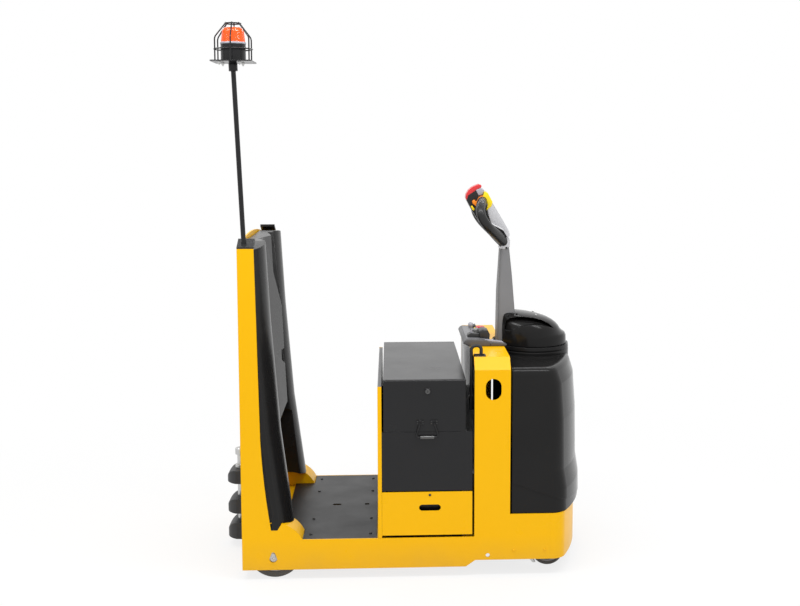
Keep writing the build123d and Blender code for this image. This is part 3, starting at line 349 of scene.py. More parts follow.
def dress(material, *nodes):
    """Give CAD nodes a material."""
    for node in nodes:
        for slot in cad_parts[node].material_slots:
            slot.material = material


# Modelling helpers


def select_none():
    """Leave edit mode with nothing selected."""
    if bpy.context.object and bpy.context.object.mode != "OBJECT":
        bpy.ops.object.mode_set(mode="OBJECT")
    bpy.ops.object.select_all(action="DESELECT")


def pick(*objects):
    """Select these objects only, the first one active."""
    select_none()
    for item in objects:
        item.select_set(True)
    bpy.context.view_layer.objects.active = objects[0]


def apply_place():
    """Put the selected objects' places into their meshes."""
    bpy.ops.object.transform_apply(location=True, rotation=True, scale=True)


def round_edges(item, width, segments=2, angle=radians(35)):
    """Round a piece's edges and shade its curves smooth."""
    pick(item)
    if width:
        bevel = item.modifiers.new("Rounding", "BEVEL")
        bevel.width = width
        bevel.segments = segments
        bevel.limit_method = "ANGLE"
        bevel.angle_limit = angle
        bpy.ops.object.modifier_apply(modifier=bevel.name)
    bpy.ops.object.shade_smooth_by_angle(angle=radians(40))
    return item


def close_up(item):
    """Merge doubles and turn the faces outwards."""
    pick(item)
    bpy.ops.object.mode_set(mode="EDIT")
    bpy.ops.mesh.select_all(action="SELECT")
    bpy.ops.mesh.remove_doubles(threshold=0.00001)
    bpy.ops.mesh.normals_make_consistent(inside=False)
    bpy.ops.object.mode_set(mode="OBJECT")
    return item


def aim(direction):
    """The turn that brings Z onto a direction."""
    return Vector(direction).to_track_quat("Z", "Y").to_matrix().to_4x4()


def turned(name, levels, place=(0, 0, 0), direction=UP, sides=32, rounding=0.0):
    """A turned piece: a disc drawn out along its axis through (radius, height) levels."""
    select_none()
    radius, height = levels[0]
    bpy.ops.mesh.primitive_circle_add(vertices=sides, radius=radius, fill_type="NGON", location=(0, 0, 0))
    item = bpy.context.object
    item.name = name
    bpy.ops.object.mode_set(mode="EDIT")
    bpy.ops.mesh.select_all(action="SELECT")
    bpy.ops.transform.translate(value=(0, 0, height))
    for next_radius, next_height in levels[1:]:
        bpy.ops.mesh.extrude_region_move(TRANSFORM_OT_translate={"value": (0, 0, next_height - height)})
        gain = next_radius / radius
        bpy.ops.transform.resize(value=(gain, gain, 1), center_override=(0, 0, next_height))
        radius, height = next_radius, next_height
    bpy.ops.object.mode_set(mode="OBJECT")
    close_up(item)
    round_edges(item, rounding)
    item.matrix_world = Matrix.Translation(place) @ aim(direction)
    apply_place()
    return item


def slab(name, outline, half, rounding=0.002, middle=0.0, segments=3):
    """A slab with an outline in X and Z, as thick as two halves along Y."""
    select_none()
    bpy.ops.mesh.primitive_circle_add(vertices=len(outline), radius=1, fill_type="NGON")
    item = bpy.context.object
    item.name = name
    for point, (x, z) in zip(item.data.vertices, outline):
        point.co = (x, middle - half, z)
    bpy.ops.object.mode_set(mode="EDIT")
    bpy.ops.mesh.select_all(action="SELECT")
    bpy.ops.mesh.extrude_region_move(TRANSFORM_OT_translate={"value": (0, 2 * half, 0)})
    bpy.ops.object.mode_set(mode="OBJECT")
    close_up(item)
    return round_edges(item, rounding, segments)


def tube(name, points, radius, radii=None, closed=False):
    """A round tube along a smooth curve through given control points."""
    select_none()
    curve = bpy.data.curves.new(name, "CURVE")
    curve.dimensions = "3D"
    curve.bevel_depth = radius
    curve.bevel_resolution = 5
    curve.use_fill_caps = True
    spline = curve.splines.new("NURBS")
    spline.points.add(len(points) - 1)
    for index, place in enumerate(points):
        spline.points[index].co = (*place, 1)
        spline.points[index].radius = radii[index] if radii else 1
    spline.use_cyclic_u = closed
    spline.order_u = 3
    spline.use_endpoint_u = not closed
    spline.resolution_u = 10
    item = bpy.data.objects.new(name, curve)
    bpy.context.collection.objects.link(item)
    pick(item)
    bpy.ops.object.convert(target="MESH")
    close_up(item)
    return round_edges(item, 0)


def joined(name, items):
    """Several meshes as one piece."""
    pick(*items)
    if len(items) > 1:
        bpy.ops.object.join()
    items[0].name = name
    return items[0]


def placed_copy(item, place, direction=UP):
    """A copy of a piece that was made at the origin along Z, with its own mesh."""
    pick(item)
    bpy.ops.object.duplicate(linked=False)
    copy = bpy.context.object
    copy.matrix_world = Matrix.Translation(place) @ aim(direction)
    apply_place()
    return copy


def seat(node, start, direction):
    """The place and outward direction where a line meets a CAD node."""
    hit, place, normal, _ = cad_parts[node].ray_cast(Vector(start), Vector(direction).normalized())
    if not hit:
        raise RuntimeError(f"nothing of {node} lies that way from {tuple(start)}")
    if normal.dot(Vector(direction)) > 0:
        normal = -normal
    return place, normal


def fit_out(item, body, slot, material):
    """Ride a piece on its body and give it its finish."""
    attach(item, body)
    item.data.materials.clear()
    item.data.materials.append(MATERIALS[material])
    return item


def head_bolt(kind, radius):
    """A fastener at the origin, its head along Z: hexagon on a washer, socket head or rivet."""
    if kind == "hexagon":
        rim = radius * 1.35
        washer = turned("washer", ((rim, -0.0004), (rim, 0.0012)), sides=24, rounding=0.0003)
        head = turned("head", ((radius, 0.001), (radius, 0.0062), (radius * 0.86, 0.0072)), sides=6)
        thread = radius * 0.5
        shank = turned("shank", ((thread, 0.006), (thread, 0.0105), (radius * 0.4, 0.0112)), sides=16)
        return joined("hexagon bolt", [washer, head, shank])
    if kind == "socket":
        levels = (
            (radius, -0.0004), (radius, radius * 0.85), (radius * 0.9, radius), (radius * 0.55, radius),
            (radius * 0.5, radius * 0.35),
        )
        return turned("socket screw", levels, sides=18)
    levels = (
        (radius, -0.0004), (radius * 0.97, radius * 0.25), (radius * 0.75, radius * 0.5),
        (radius * 0.3, radius * 0.62),
    )
    return turned("rivet", levels, sides=16)


def fasteners(name, body, slot, material, kind, radius, seats):
    """A set of like fasteners as one piece, each at its place and direction."""
    model = head_bolt(kind, radius)
    copies = [placed_copy(model, place, direction) for place, direction in seats]
    bpy.data.objects.remove(model)
    return fit_out(joined(name, copies), body, slot, material)


def seated_fasteners(name, body, slot, material, kind, radius, lines):
    """A set of like fasteners, each seated where a line meets its node."""
    return fasteners(name, body, slot, material, kind, radius, (seat(*line) for line in lines))


def middle_of(node):
    """The middle of a CAD node's box."""
    low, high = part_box(node)
    return (low + high) / 2


MATERIALS = {}
GROUP_MAKERS = {"edges": edge_group, "grain": grain_group, "mottle": mottle_group, "ridges": ribs_group}


def finish_table(colours):
    """Each finish by its short name: label, colour, roughness and surface details."""
    return {
        "yellow": (
            "body yellow", colours.body_yellow, 0.3,
            dict(specular=0.14, edge_gain=1.02, amount=0.03, dust=0.35),
        ),
        "black paint": (
            "frame black", colours.frame_black, 0.24,
            dict(specular=0.3, edge_gain=3.2, amount=0.3, height=0.00006),
        ),
        "moulded": (
            "moulded black", colours.moulded_black, 0.17,
            dict(specular=0.16, edge_gain=2.2, edge_radius=0.003, scale=900.0, height=0.00002, amount=0.25),
        ),
        "backrest": (
            "backrest black", colours.moulded_black, 0.26,
            dict(specular=0.2, edge_gain=3.0, edge_radius=0.005, scale=700.0, height=0.00003, amount=0.25),
        ),
        "grip": (
            "grip black", (0.009, 0.009, 0.0095), 0.36,
            dict(specular=0.4, edge_gain=2.5, edge_radius=0.002, scale=1500.0, height=0.00002),
        ),
        "rubber": (
            "moulded rubber", (0.014, 0.014, 0.0145), 0.5,
            dict(edge_gain=1.8, scale=1100.0, height=0.0001, dust=0.5),
        ),
        "mat": (
            "platform rubber", (0.009, 0.009, 0.0095), 0.42,
            dict(scale=240.0, height=0.0002, amount=0.5, dust=0.12, spread=0.14),
        ),
        "casting": (
            "black casting", (0.012, 0.012, 0.0125), 0.5,
            dict(edge_gain=4.0, edge_radius=0.003, scale=350.0, height=0.0003, amount=0.4),
        ),
        "arm": (
            "arm grey", colours.arm_grey, 0.5,
            dict(edge_gain=0.4, edge_radius=0.004, edge_amount=0.9, scale=500.0, height=0.0003, amount=0.3),
        ),
        "zinc": (
            "zinc plate", (0.55, 0.55, 0.54), 0.34, dict(metallic=1.0, edge_gain=1.3, scale=500.0, amount=0.3)
        ),
        # dark zinc whose strongly lightened edges are a painted highlight, as on the lock's lower lip
        "dark zinc with painted highlight": ("dark zinc with painted highlight", (0.11, 0.11, 0.11), 0.3, dict(metallic=1.0, edge_gain=5.0, amount=0.6)),
        "rim": ("rim grey", (0.3, 0.3, 0.31), 0.4, dict(edge_gain=1.4, dust=0.4)),
        "console": (
            "console grey", (0.085, 0.085, 0.09), 0.42,
            dict(edge_gain=1.9, edge_radius=0.003, scale=1300.0, height=0.0001),
        ),
        "panel grey": (
            "panel grey", (0.14, 0.14, 0.148), 0.36, dict(specular=0.6, scale=1300.0, height=0.0001)
        ),
        "dark plastic": ("dark plastic", (0.016, 0.016, 0.017), 0.38, dict(scale=1200.0, height=0.00006)),
        "silver": (
            "silver cover", colours.silver, 0.32, dict(coat=0.3, edge_gain=0.8, scale=1600.0, amount=0.05)
        ),
        "white": ("white rim", (0.78, 0.78, 0.79), 0.35, dict(edge_gain=0.9, scale=1600.0, amount=0.04)),
        "light grey": ("light grey plastic", (0.36, 0.36, 0.41), 0.4, dict(edge_gain=1.2, scale=1400.0)),
        "red": (
            "signal red", colours.signal_red, 0.3, dict(coat=0.3, edge_gain=1.3, height=0.00001, amount=0.05)
        ),
        "orange": ("switch orange", colours.switch_orange, 0.35, dict(edge_gain=1.2, amount=0.05)),
        "insert": ("insert yellow", colours.insert_yellow, 0.35, dict(edge_gain=1.1, amount=0.05)),
    }


def tyre_finish(wheel):
    """Tyre rubber with fine rings round the wheel's own axle."""
    rings = {"Centre": middle_of(f"{wheel}_tyre"), "Scale": (1, 0, 1), "Pitch": 700.0}
    details = dict(edge_gain=1.8, scale=900.0, height=0.00015, dust=0.9, rings=rings)
    return finish(f"{wheel} tyre", (0.014, 0.014, 0.0145), 0.55, **details)


def beacon_glass():
    """Clear orange plastic that lets light through and glows a little."""
    material, tree, shader = new_material("beacon orange")
    mottle = place_group(
        tree, "mottle", {"Colour": (0.95, 0.11, 0.008, 1), "Edge colour": (1.0, 0.4, 0.05, 1), "Amount": 0.5}
    )
    set_inputs(
        tree, shader,
        {
            "Roughness": 0.12, "Transmission Weight": 0.55, "IOR": 1.46, "Emission Strength": 0.18,
            "Emission Color": (1.0, 0.16, 0.01, 1), "Base Color": mottle.outputs["Colour"],
        },
    )
    return material


class TUG_OT_mix_finishes(bpy.types.Operator):
    """Make the materials and dress the plates, covers and wheels"""

    bl_idname = "tug.mix_finishes"
    bl_label = "Mix finishes"

    # the CAD nodes that take each finish
    dressed = {
        "yellow": (
            "right_side_plate", "left_side_plate", "front_skirt", "console_hoop", "platform_deck",
            "wheel_houses", "rear_panel", "box_posts", "right_door", "left_door",
        ),
        "black paint": (
            "kick_panel", "bulkhead", "box_panels", "battery_lid", "battery", "drive_frame", "lid_lock",
            "beacon_pole", "beacon_mount", "beacon_cage", "lid_handles",
        ),
        "moulded": ("front_cover", "cover_collar", "dome_hood"),
        "backrest": ("backrest",),
        "grip": ("tiller_core", "post_caps", "right_grip", "left_grip"),
        "rubber": ("battery_lead",),
        "mat": ("platform_mat",),
        "casting": ("tow_coupling", "drive_unit"),
        "arm": ("tiller_arm",),
        "zinc": ("tow_pin", "rear_axles", "right_castor_fork", "left_castor_fork", "key_switch"),
        "console": ("console",),
        "silver": ("tiller_cover",),
        "red": ("belly_button", "emergency_button"),
        "rim": ("drive_rim", "right_rear_rim", "left_rear_rim", "right_castor_rim", "left_castor_rim"),
    }
    tyred = ("drive", "right_rear", "left_rear", "right_castor", "left_castor")

    def execute(self, context):
        for name, maker in GROUP_MAKERS.items():
            GROUPS[name] = maker()
        for name, (label, colour, roughness, details) in finish_table(finishes()).items():
            MATERIALS[name] = finish(label, colour, roughness, **details)
        MATERIALS["lens"] = beacon_glass()
        for name, nodes in self.dressed.items():
            dress(MATERIALS[name], *nodes)
        for wheel in self.tyred:
            dress(tyre_finish(wheel), f"{wheel}_tyre")
        return {"FINISHED"}


class TUG_OT_add_fasteners(bpy.types.Operator):
    """Seat the bolts and screws on their plates"""

    bl_idname = "tug.add_fasteners"
    bl_label = "Add fasteners"

    # the coupling's bolts: out from the middle, below its top and above its foot
    coupling_bolt_y, coupling_bolt_drop, coupling_bolt_rise = 0.092, 0.022, 0.012
    # the backrest's bolts: out from the middle, below the rear panel's top
    backrest_bolt_y, backrest_bolt_drops = (0.12, 0.3), (0.09, 0.36, 0.63)
    # along X and out from the middle
    mat_stud_places = ((-0.36, 0.34), (-0.13, 0.34), (-0.13, 0.17), (-0.36, 0.17))
    mat_stud_radius = 0.006
    door_bolt_x, door_bolt_z = 0.098, 0.322
    door_bolt_levels = (
        (0.0046, -0.0055), (0.0046, 0.0006), (0.0036, 0.0016), (0.002, 0.0016), (0.0018, 0.0002)
    )
    arm_screw_x, arm_screw_z = 0.424, 1.231
    skirt_rivet_x, skirt_rivet_z, skirt_rivet_radius = (0.42, 0.54), 0.1, 0.005

    def execute(self, context):
        bolt, screw = fittings().bolt_radius, fittings().screw_radius
        low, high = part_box("tow_coupling")
        behind, forward = low.x - 0.1, Vector((1, 0, 0))
        seated_fasteners(
            "coupling_bolts", "chassis", "zinc", "casting", "hexagon", bolt,
            [
                ("rear_panel", (behind, side * self.coupling_bolt_y, z), forward)
                for side in (-1, 1)
                for z in (high.z - self.coupling_bolt_drop, low.z + self.coupling_bolt_rise)
            ],
        )
        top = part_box("rear_panel")[1].z
        seated_fasteners(
            "backrest_bolts", "chassis", "zinc", "black paint", "hexagon", bolt * 0.8,
            [
                ("rear_panel", (behind, side * y, top - drop), forward)
                for side in (-1, 1)
                for y in self.backrest_bolt_y
                for drop in self.backrest_bolt_drops
            ],
        )
        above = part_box("platform_mat")[1].z + 0.145
        seated_fasteners(
            "mat_studs", "chassis", "zinc", "mat", "rivet", self.mat_stud_radius,
            [
                ("platform_mat", (x, side * y, above), DOWN)
                for side in (-1, 1)
                for x, y in self.mat_stud_places
            ],
        )
        for side, sign in SIDES:
            inwards = Vector((0, -sign, 0))
            door_low, door_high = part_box(f"{side}_door")
            face = door_low.y if sign < 0 else door_high.y
            place = (self.door_bolt_x, face, self.door_bolt_z)
            head = turned(f"{side}_door_bolt", self.door_bolt_levels, place, -inwards, 20)
            fit_out(head, f"{side}_door", "zinc", "dark plastic")
            seated_fasteners(
                f"{side}_pod_screws", "steering", "zinc", "dark plastic", "socket", screw,
                [("tiller_arm", (self.arm_screw_x, sign * OUTSIDE, self.arm_screw_z), inwards)],
            )
            seated_fasteners(
                f"{side}_skirt_rivets", "chassis", "body_yellow", "yellow", "rivet", self.skirt_rivet_radius,
                [
                    (f"{side}_side_plate", (x, sign * OUTSIDE, self.skirt_rivet_z), inwards)
                    for x in self.skirt_rivet_x
                ],
            )
        return {"FINISHED"}


class TUG_OT_fit_tiller_head(bpy.types.Operator):
    """Model the tiller head's grips, switches and covers"""

    bl_idname = "tug.fit_tiller_head"
    bl_label = "Fit tiller head"

    # the head's tip, forward of the rear of its core
    tip_setback = 0.137
    # outlines in X and Z, measured from the tip and the core's foot
    belly = (
        (-0.142, 0.200), (-0.139, 0.215), (-0.130, 0.230), (-0.117, 0.242), (-0.101, 0.250), (-0.088, 0.2545),
        (-0.079, 0.252), (-0.076, 0.247), (-0.080, 0.238), (-0.097, 0.231), (-0.112, 0.219), (-0.124, 0.204),
        (-0.131, 0.190), (-0.137, 0.188),
    )
    grey_block = (
        (-0.101, 0.231), (-0.079, 0.240), (-0.068, 0.233), (-0.067, 0.226), (-0.073, 0.212), (-0.089, 0.208)
    )
    insert = (
        (-0.067, 0.221), (-0.061, 0.2255), (-0.052, 0.219), (-0.033, 0.183), (-0.037, 0.166), (-0.058, 0.148),
        (-0.054, 0.172), (-0.058, 0.187), (-0.069, 0.194), (-0.073, 0.204),
    )
    butterfly = (
        (-0.116, 0.187), (-0.107, 0.193), (-0.099, 0.184), (-0.089, 0.202), (-0.079, 0.209), (-0.068, 0.208),
        (-0.073, 0.196), (-0.084, 0.186), (-0.092, 0.170), (-0.093, 0.162), (-0.101, 0.166), (-0.114, 0.177),
    )
    horn_key = ((-0.122, 0.166), (-0.116, 0.169), (-0.105, 0.155), (-0.109, 0.148), (-0.114, 0.150))
    shell = (
        (-0.059, 0.220), (-0.042, 0.192), (-0.023, 0.158), (0.031, 0.066), (0.022, 0.058), (0.010, 0.069),
        (0.003, 0.074), (-0.034, 0.092), (-0.038, 0.097), (-0.046, 0.118), (-0.053, 0.142), (-0.058, 0.180),
    )
    rim = (
        (-0.039, 0.098), (-0.035, 0.090), (0.003, 0.0715), (0.012, 0.066), (0.013, 0.0695), (0.004, 0.0765),
        (-0.033, 0.095),
    )
    neck = (
        (-0.004, -0.008), (0.012, 0.022), (0.030, 0.046), (0.040, 0.025), (0.0385, -0.002), (0.018, -0.010)
    )
    # piece, outline, half its width, rounding, steps of the rounding, slot and finish
    blocks = (
        ("belly_switch", belly, 0.0275, 0.004, 4, "signal_red", "red"),
        ("head_block", grey_block, 0.0315, 0.003, 3, "cover_silver", "light grey"),
        ("head_insert", insert, 0.0445, 0.003, 3, "body_yellow", "insert"),
        ("head_shell", shell, 0.0425, 0.005, 4, "cover_silver", "silver"),
        ("head_rim", rim, 0.0440, 0.0015, 3, "cover_silver", "white"),
        ("neck_clasp", neck, 0.0355, 0.003, 3, "cover_silver", "silver"),
    )
    # piece of each side, outline, half its width, rounding, out from the middle, slot and finish
    side_blocks = (
        ("thumb_switch", butterfly, 0.007, 0.002, 0.036, "signal_red", "orange"),
        ("horn_button", horn_key, 0.006, 0.0015, 0.035, "body_yellow", "insert"),
    )
    # the grip loop's control points: X and Z as above, Y out from the middle, and its thickness there
    loop = (
        (0.014, 0.018, 0.020, 1.02), (-0.006, 0.040, 0.052, 1.05), (-0.035, 0.066, 0.098, 1.0),
        (-0.062, 0.092, 0.136, 0.94), (-0.083, 0.122, 0.146, 0.9), (-0.091, 0.150, 0.140, 0.9),
        (-0.087, 0.172, 0.108, 0.94), (-0.078, 0.186, 0.062, 0.98), (-0.072, 0.188, 0.026, 0.9),
    )

    def execute(self, context):
        core_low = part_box("tiller_core")[0]
        tip, foot = core_low.x + self.tip_setback, core_low.z

        def outline(offsets):
            return [(tip + x, foot + z) for x, z in offsets]

        for name, offsets, half, rounding, steps, slot, material in self.blocks:
            block = slab(name, outline(offsets), half, rounding, segments=steps)
            fit_out(block, "steering", slot, material)
            if name == "belly_switch":
                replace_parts(block, "belly_button")
        for side, sign in SIDES:
            for name, offsets, half, rounding, y, slot, material in self.side_blocks:
                block = slab(f"{side}_{name}", outline(offsets), half, rounding, middle=sign * y)
                fit_out(block, "steering", slot, material)
            path = [(tip + x, sign * y, foot + z) for x, z, y, _ in self.loop]
            thickness = [row[3] for row in self.loop]
            grip = tube(f"{side}_moulded_grip", path, fittings().grip_radius, thickness)
            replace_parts(fit_out(grip, "steering", "grip_black", "grip"), f"{side}_grip")
        return {"FINISHED"}


class TUG_OT_fit_console(bpy.types.Operator):
    """Model the console's tray, panel, pod, rockers, gauge, stop button, key and lever"""

    bl_idname = "tug.fit_console"
    bl_label = "Fit console"

    tray_rise, tray_length, tail_half = 0.029, 0.116, 0.016
    rocker_y = (0.136, 0.160)
    # the stop button stands this far forward of its solid
    stop_forward = 0.018

    def execute(self, context):
        low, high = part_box("console")
        foot, top = low.z + 0.0004, low.z + self.tray_rise
        rear, front = low.x, low.x + self.tray_length
        middle_y, half_y = (low.y + high.y) / 2, (high.y - low.y) / 2
        tray = slab(
            "console_tray",
            (
                (rear, foot + 0.012), (rear + 0.007, top - 0.004), (rear + 0.018, top),
                (front - 0.022, top - 0.003), (front - 0.006, top - 0.010), (front, foot + 0.006),
                (front - 0.004, foot), (rear + 0.024, foot),
            ),
            half_y, 0.003, middle=middle_y,
        )
        tail = slab(
            "console_tail",
            (
                (front - 0.010, foot), (front - 0.010, top - 0.010), (high.x - 0.014, foot + 0.014),
                (high.x, foot + 0.006), (high.x - 0.006, foot),
            ),
            self.tail_half, 0.003, middle=low.y + self.tail_half,
        )
        tray = joined("console_tray", [tray, tail])
        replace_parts(fit_out(tray, "chassis", "console_grey", "console"), "console")
        panel = slab(
            "console_panel",
            (
                (rear + 0.014, top - 0.003), (rear + 0.014, top + 0.0022), (front - 0.026, top - 0.0002),
                (front - 0.026, top - 0.006),
            ),
            half_y - 0.010, 0.001, middle=middle_y,
        )
        fit_out(panel, "chassis", "console_grey", "panel grey")
        button = middle_of("emergency_button") + Vector((self.stop_forward, 0, 0))
        housing = slab(
            "stop_housing",
            (
                (button.x - 0.027, top - 0.004), (button.x - 0.024, top + 0.003),
                (button.x + 0.026, top + 0.003), (button.x + 0.030, top - 0.004),
            ),
            0.027, 0.003, middle=button.y,
        )
        fit_out(housing, "chassis", "body_yellow", "insert")
        mushroom = turned(
            "stop_button",
            (
                (0.0125, -0.002), (0.0125, 0.001), (0.0195, 0.003), (0.020, 0.006), (0.0185, 0.010),
                (0.0135, 0.0125), (0.006, 0.0135),
            ),
            (button.x, button.y, top), UP, 40,
        )
        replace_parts(fit_out(mushroom, "chassis", "signal_red", "red"), "emergency_button")
        key = middle_of("key_switch")
        barrel = turned(
            "key_barrel",
            ((0.014, 0), (0.014, 0.004), (0.012, 0.0065), (0.012, 0.010), (0.0105, 0.0115), (0.006, 0.0115)),
            (key.x, key.y, top + 0.001), UP, 32, 0.0003,
        )
        bow = slab(
            "key_bow",
            (
                (key.x - 0.009, top + 0.013), (key.x - 0.011, top + 0.026), (key.x - 0.005, top + 0.032),
                (key.x + 0.005, top + 0.032), (key.x + 0.011, top + 0.026), (key.x + 0.009, top + 0.013),
            ),
            0.0016, 0.0006, middle=key.y,
        )
        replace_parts(fit_out(joined("key_barrel", [barrel, bow]), "chassis", "zinc", "zinc"), "key_switch")
        gauge = turned(
            "charge_gauge", ((0.022, 0), (0.022, 0.005), (0.0195, 0.007), (0.018, 0.007), (0.0175, 0.0045)),
            (key.x + 0.004, 0.016, top - 0.0005), UP, 40, 0.0006,
        )
        fit_out(gauge, "chassis", "console_grey", "dark plastic")
        middle = (rear + front) / 2
        rockers = []
        for y in self.rocker_y:
            outline = (
                (middle - 0.014, top - 0.002), (middle - 0.014, top + 0.009), (middle, top + 0.005),
                (middle + 0.014, top + 0.010), (middle + 0.014, top - 0.003),
            )
            rockers.append(slab("rocker", outline, 0.0095, 0.0012, middle=y))
        pod_x = front - 0.040
        pod = slab(
            "pod",
            (
                (pod_x - 0.006, top - 0.006), (pod_x - 0.010, top + 0.028), (pod_x + 0.004, top + 0.034),
                (pod_x + 0.026, top + 0.031), (pod_x + 0.034, top + 0.014), (pod_x + 0.032, top - 0.010),
            ),
            0.034, 0.004, middle=low.y + 0.062,
        )
        cradle = slab(
            "cradle",
            (
                (rear + 0.022, top - 0.004), (rear + 0.020, top + 0.010), (rear + 0.034, top + 0.019),
                (pod_x, top + 0.014), (pod_x, top - 0.006),
            ),
            0.020, 0.003, middle=low.y + 0.060,
        )
        fit_out(joined("console_rockers", [*rockers, pod, cradle]), "chassis", "console_grey", "dark plastic")
        knob = turned(
            "lever_knob",
            (
                (0.0042, 0), (0.0042, 0.040), (0.0078, 0.043), (0.0102, 0.048), (0.0105, 0.052),
                (0.0088, 0.058), (0.0045, 0.0612),
            ),
            (rear + 0.040, low.y + 0.050, top), (-0.12, 0, 1), 24,
        )
        fit_out(knob, "chassis", "console_grey", "light grey")
        strip = slab(
            "console_tail_strip",
            (
                (front - 0.034, top - 0.007), (front - 0.028, top - 0.0015), (high.x - 0.020, foot + 0.0185),
                (high.x - 0.012, foot + 0.0125),
            ),
            0.012, 0.0015, middle=low.y + 0.016,
        )
        fit_out(strip, "chassis", "cover_silver", "light grey")
        return {"FINISHED"}


class TUG_OT_fit_hood(bpy.types.Operator):
    """Model the moulded hood with its swept recess on each side"""

    bl_idname = "tug.fit_hood"
    bl_label = "Fit hood"

    # height over the foot, how far the front draws back, and the half width
    rings = (
        (0.030, 0.0015, 0.1405), (0.040, 0.006, 0.140), (0.046, 0.016, 0.1385), (0.056, 0.026, 0.137),
        (0.068, 0.033, 0.1335), (0.080, 0.044, 0.128), (0.092, 0.060, 0.120), (0.103, 0.082, 0.109),
        (0.113, 0.112, 0.095), (0.121, 0.150, 0.078), (0.127, 0.192, 0.058), (0.1315, 0.232, 0.036),
    )
    # the recess seen from the side: forward of the hood's middle, over its foot
    sweep = (
        (-0.121, 0.062), (-0.116, 0.097), (-0.100, 0.110), (-0.075, 0.1155), (-0.045, 0.1155),
        (-0.005, 0.1105), (0.030, 0.1005), (0.058, 0.086), (0.078, 0.068), (0.060, 0.0745), (0.030, 0.083),
        (0.000, 0.0865), (-0.030, 0.0860), (-0.060, 0.080), (-0.085, 0.070), (-0.105, 0.058),
    )
    # the recess's floor is the same dome, drawn in along X, Y and Z
    floor_scale = (0.97, 0.91, 0.87)
    # screws beside the arm and on the crest: X, and Y out from the middle, slot and finish
    screw_sets = (
        ("hood_screws", ((0.428, 0.070), (0.446, 0.070), (0.464, 0.070)), "grip_black", "grip"),
        ("crest_screws", ((0.545, 0.045),), "zinc", "zinc"),
    )

    def dome(self, name, radius, centre, foot, scale):
        """A closed dome with an upright rear, scaled along X, Y and Z."""
        select_none()
        bpy.ops.mesh.primitive_circle_add(
            vertices=96, radius=radius, fill_type="NGON", location=(*centre, foot)
        )
        dome = bpy.context.object
        dome.name = name
        bpy.ops.object.transform_apply(location=True)
        rear = centre[0] - radius
        bpy.ops.object.mode_set(mode="EDIT")
        bpy.ops.mesh.select_all(action="SELECT")
        length, half, height = 2 * radius, radius, 0.0
        for rise, back, half_width in self.rings:
            bpy.ops.mesh.extrude_region_move(TRANSFORM_OT_translate={"value": (0, 0, rise - height)})
            next_length = 2 * radius - back
            bpy.ops.transform.resize(
                value=(next_length / length, half_width / half, 1),
                center_override=(rear, centre[1], foot + rise),
            )
            length, half, height = next_length, half_width, rise
        bpy.ops.object.mode_set(mode="OBJECT")
        close_up(dome)
        bpy.ops.object.mode_set(mode="EDIT")
        bpy.ops.mesh.select_all(action="SELECT")
        bpy.ops.transform.resize(value=scale, center_override=(centre[0], centre[1], foot))
        bpy.ops.object.mode_set(mode="OBJECT")
        return dome

    def cut(self, item, tool):
        """Cut with a tool that is then removed."""
        pick(item)
        step = item.modifiers.new("Cut", "BOOLEAN")
        step.operation = "DIFFERENCE"
        step.object = tool
        step.solver = "EXACT"
        bpy.ops.object.modifier_apply(modifier=step.name)
        bpy.data.objects.remove(tool)

    def crest_seats(self, hood, places):
        """Where upright lines on both sides meet the hood's skin, and which way it faces there."""
        above = hood.bound_box[1][2] + 0.1
        for sign in (-1, 1):
            for x, y in places:
                hit, place, normal, _ = hood.ray_cast(Vector((x, sign * y, above)), DOWN)
                if not hit:
                    raise RuntimeError(f"no hood lies under {x}, {sign * y}")
                yield place, normal

    def execute(self, context):
        low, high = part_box("dome_hood")
        radius = (high.y - low.y) / 2
        centre = (high.x - radius, 0.0)
        hood = self.dome("moulded_hood", radius, centre, low.z, (1, 1, 1))
        inner = self.dome("inner_form", radius, centre, low.z - 0.001, self.floor_scale)
        outline = [(centre[0] + x, low.z + z) for x, z in self.sweep]
        cutter = slab("sweep_cutter", outline, radius * 1.1, 0)
        self.cut(cutter, inner)
        self.cut(hood, cutter)
        pick(hood)
        bpy.ops.object.mode_set(mode="EDIT")
        bpy.ops.mesh.select_all(action="SELECT")
        bpy.ops.mesh.bisect(
            plane_co=(low.x, 0, 0), plane_no=(1, 0, 0), use_fill=True, clear_inner=True, threshold=0.00001
        )
        bpy.ops.object.mode_set(mode="OBJECT")
        close_up(hood)
        bpy.ops.object.shade_smooth_by_angle(angle=radians(32))
        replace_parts(fit_out(hood, "steering", "moulded_black", "moulded"), "dome_hood")
        for name, places, slot, material in self.screw_sets:
            seats = self.crest_seats(hood, places)
            fasteners(name, "steering", slot, material, "socket", fittings().screw_radius, seats)
        return {"FINISHED"}


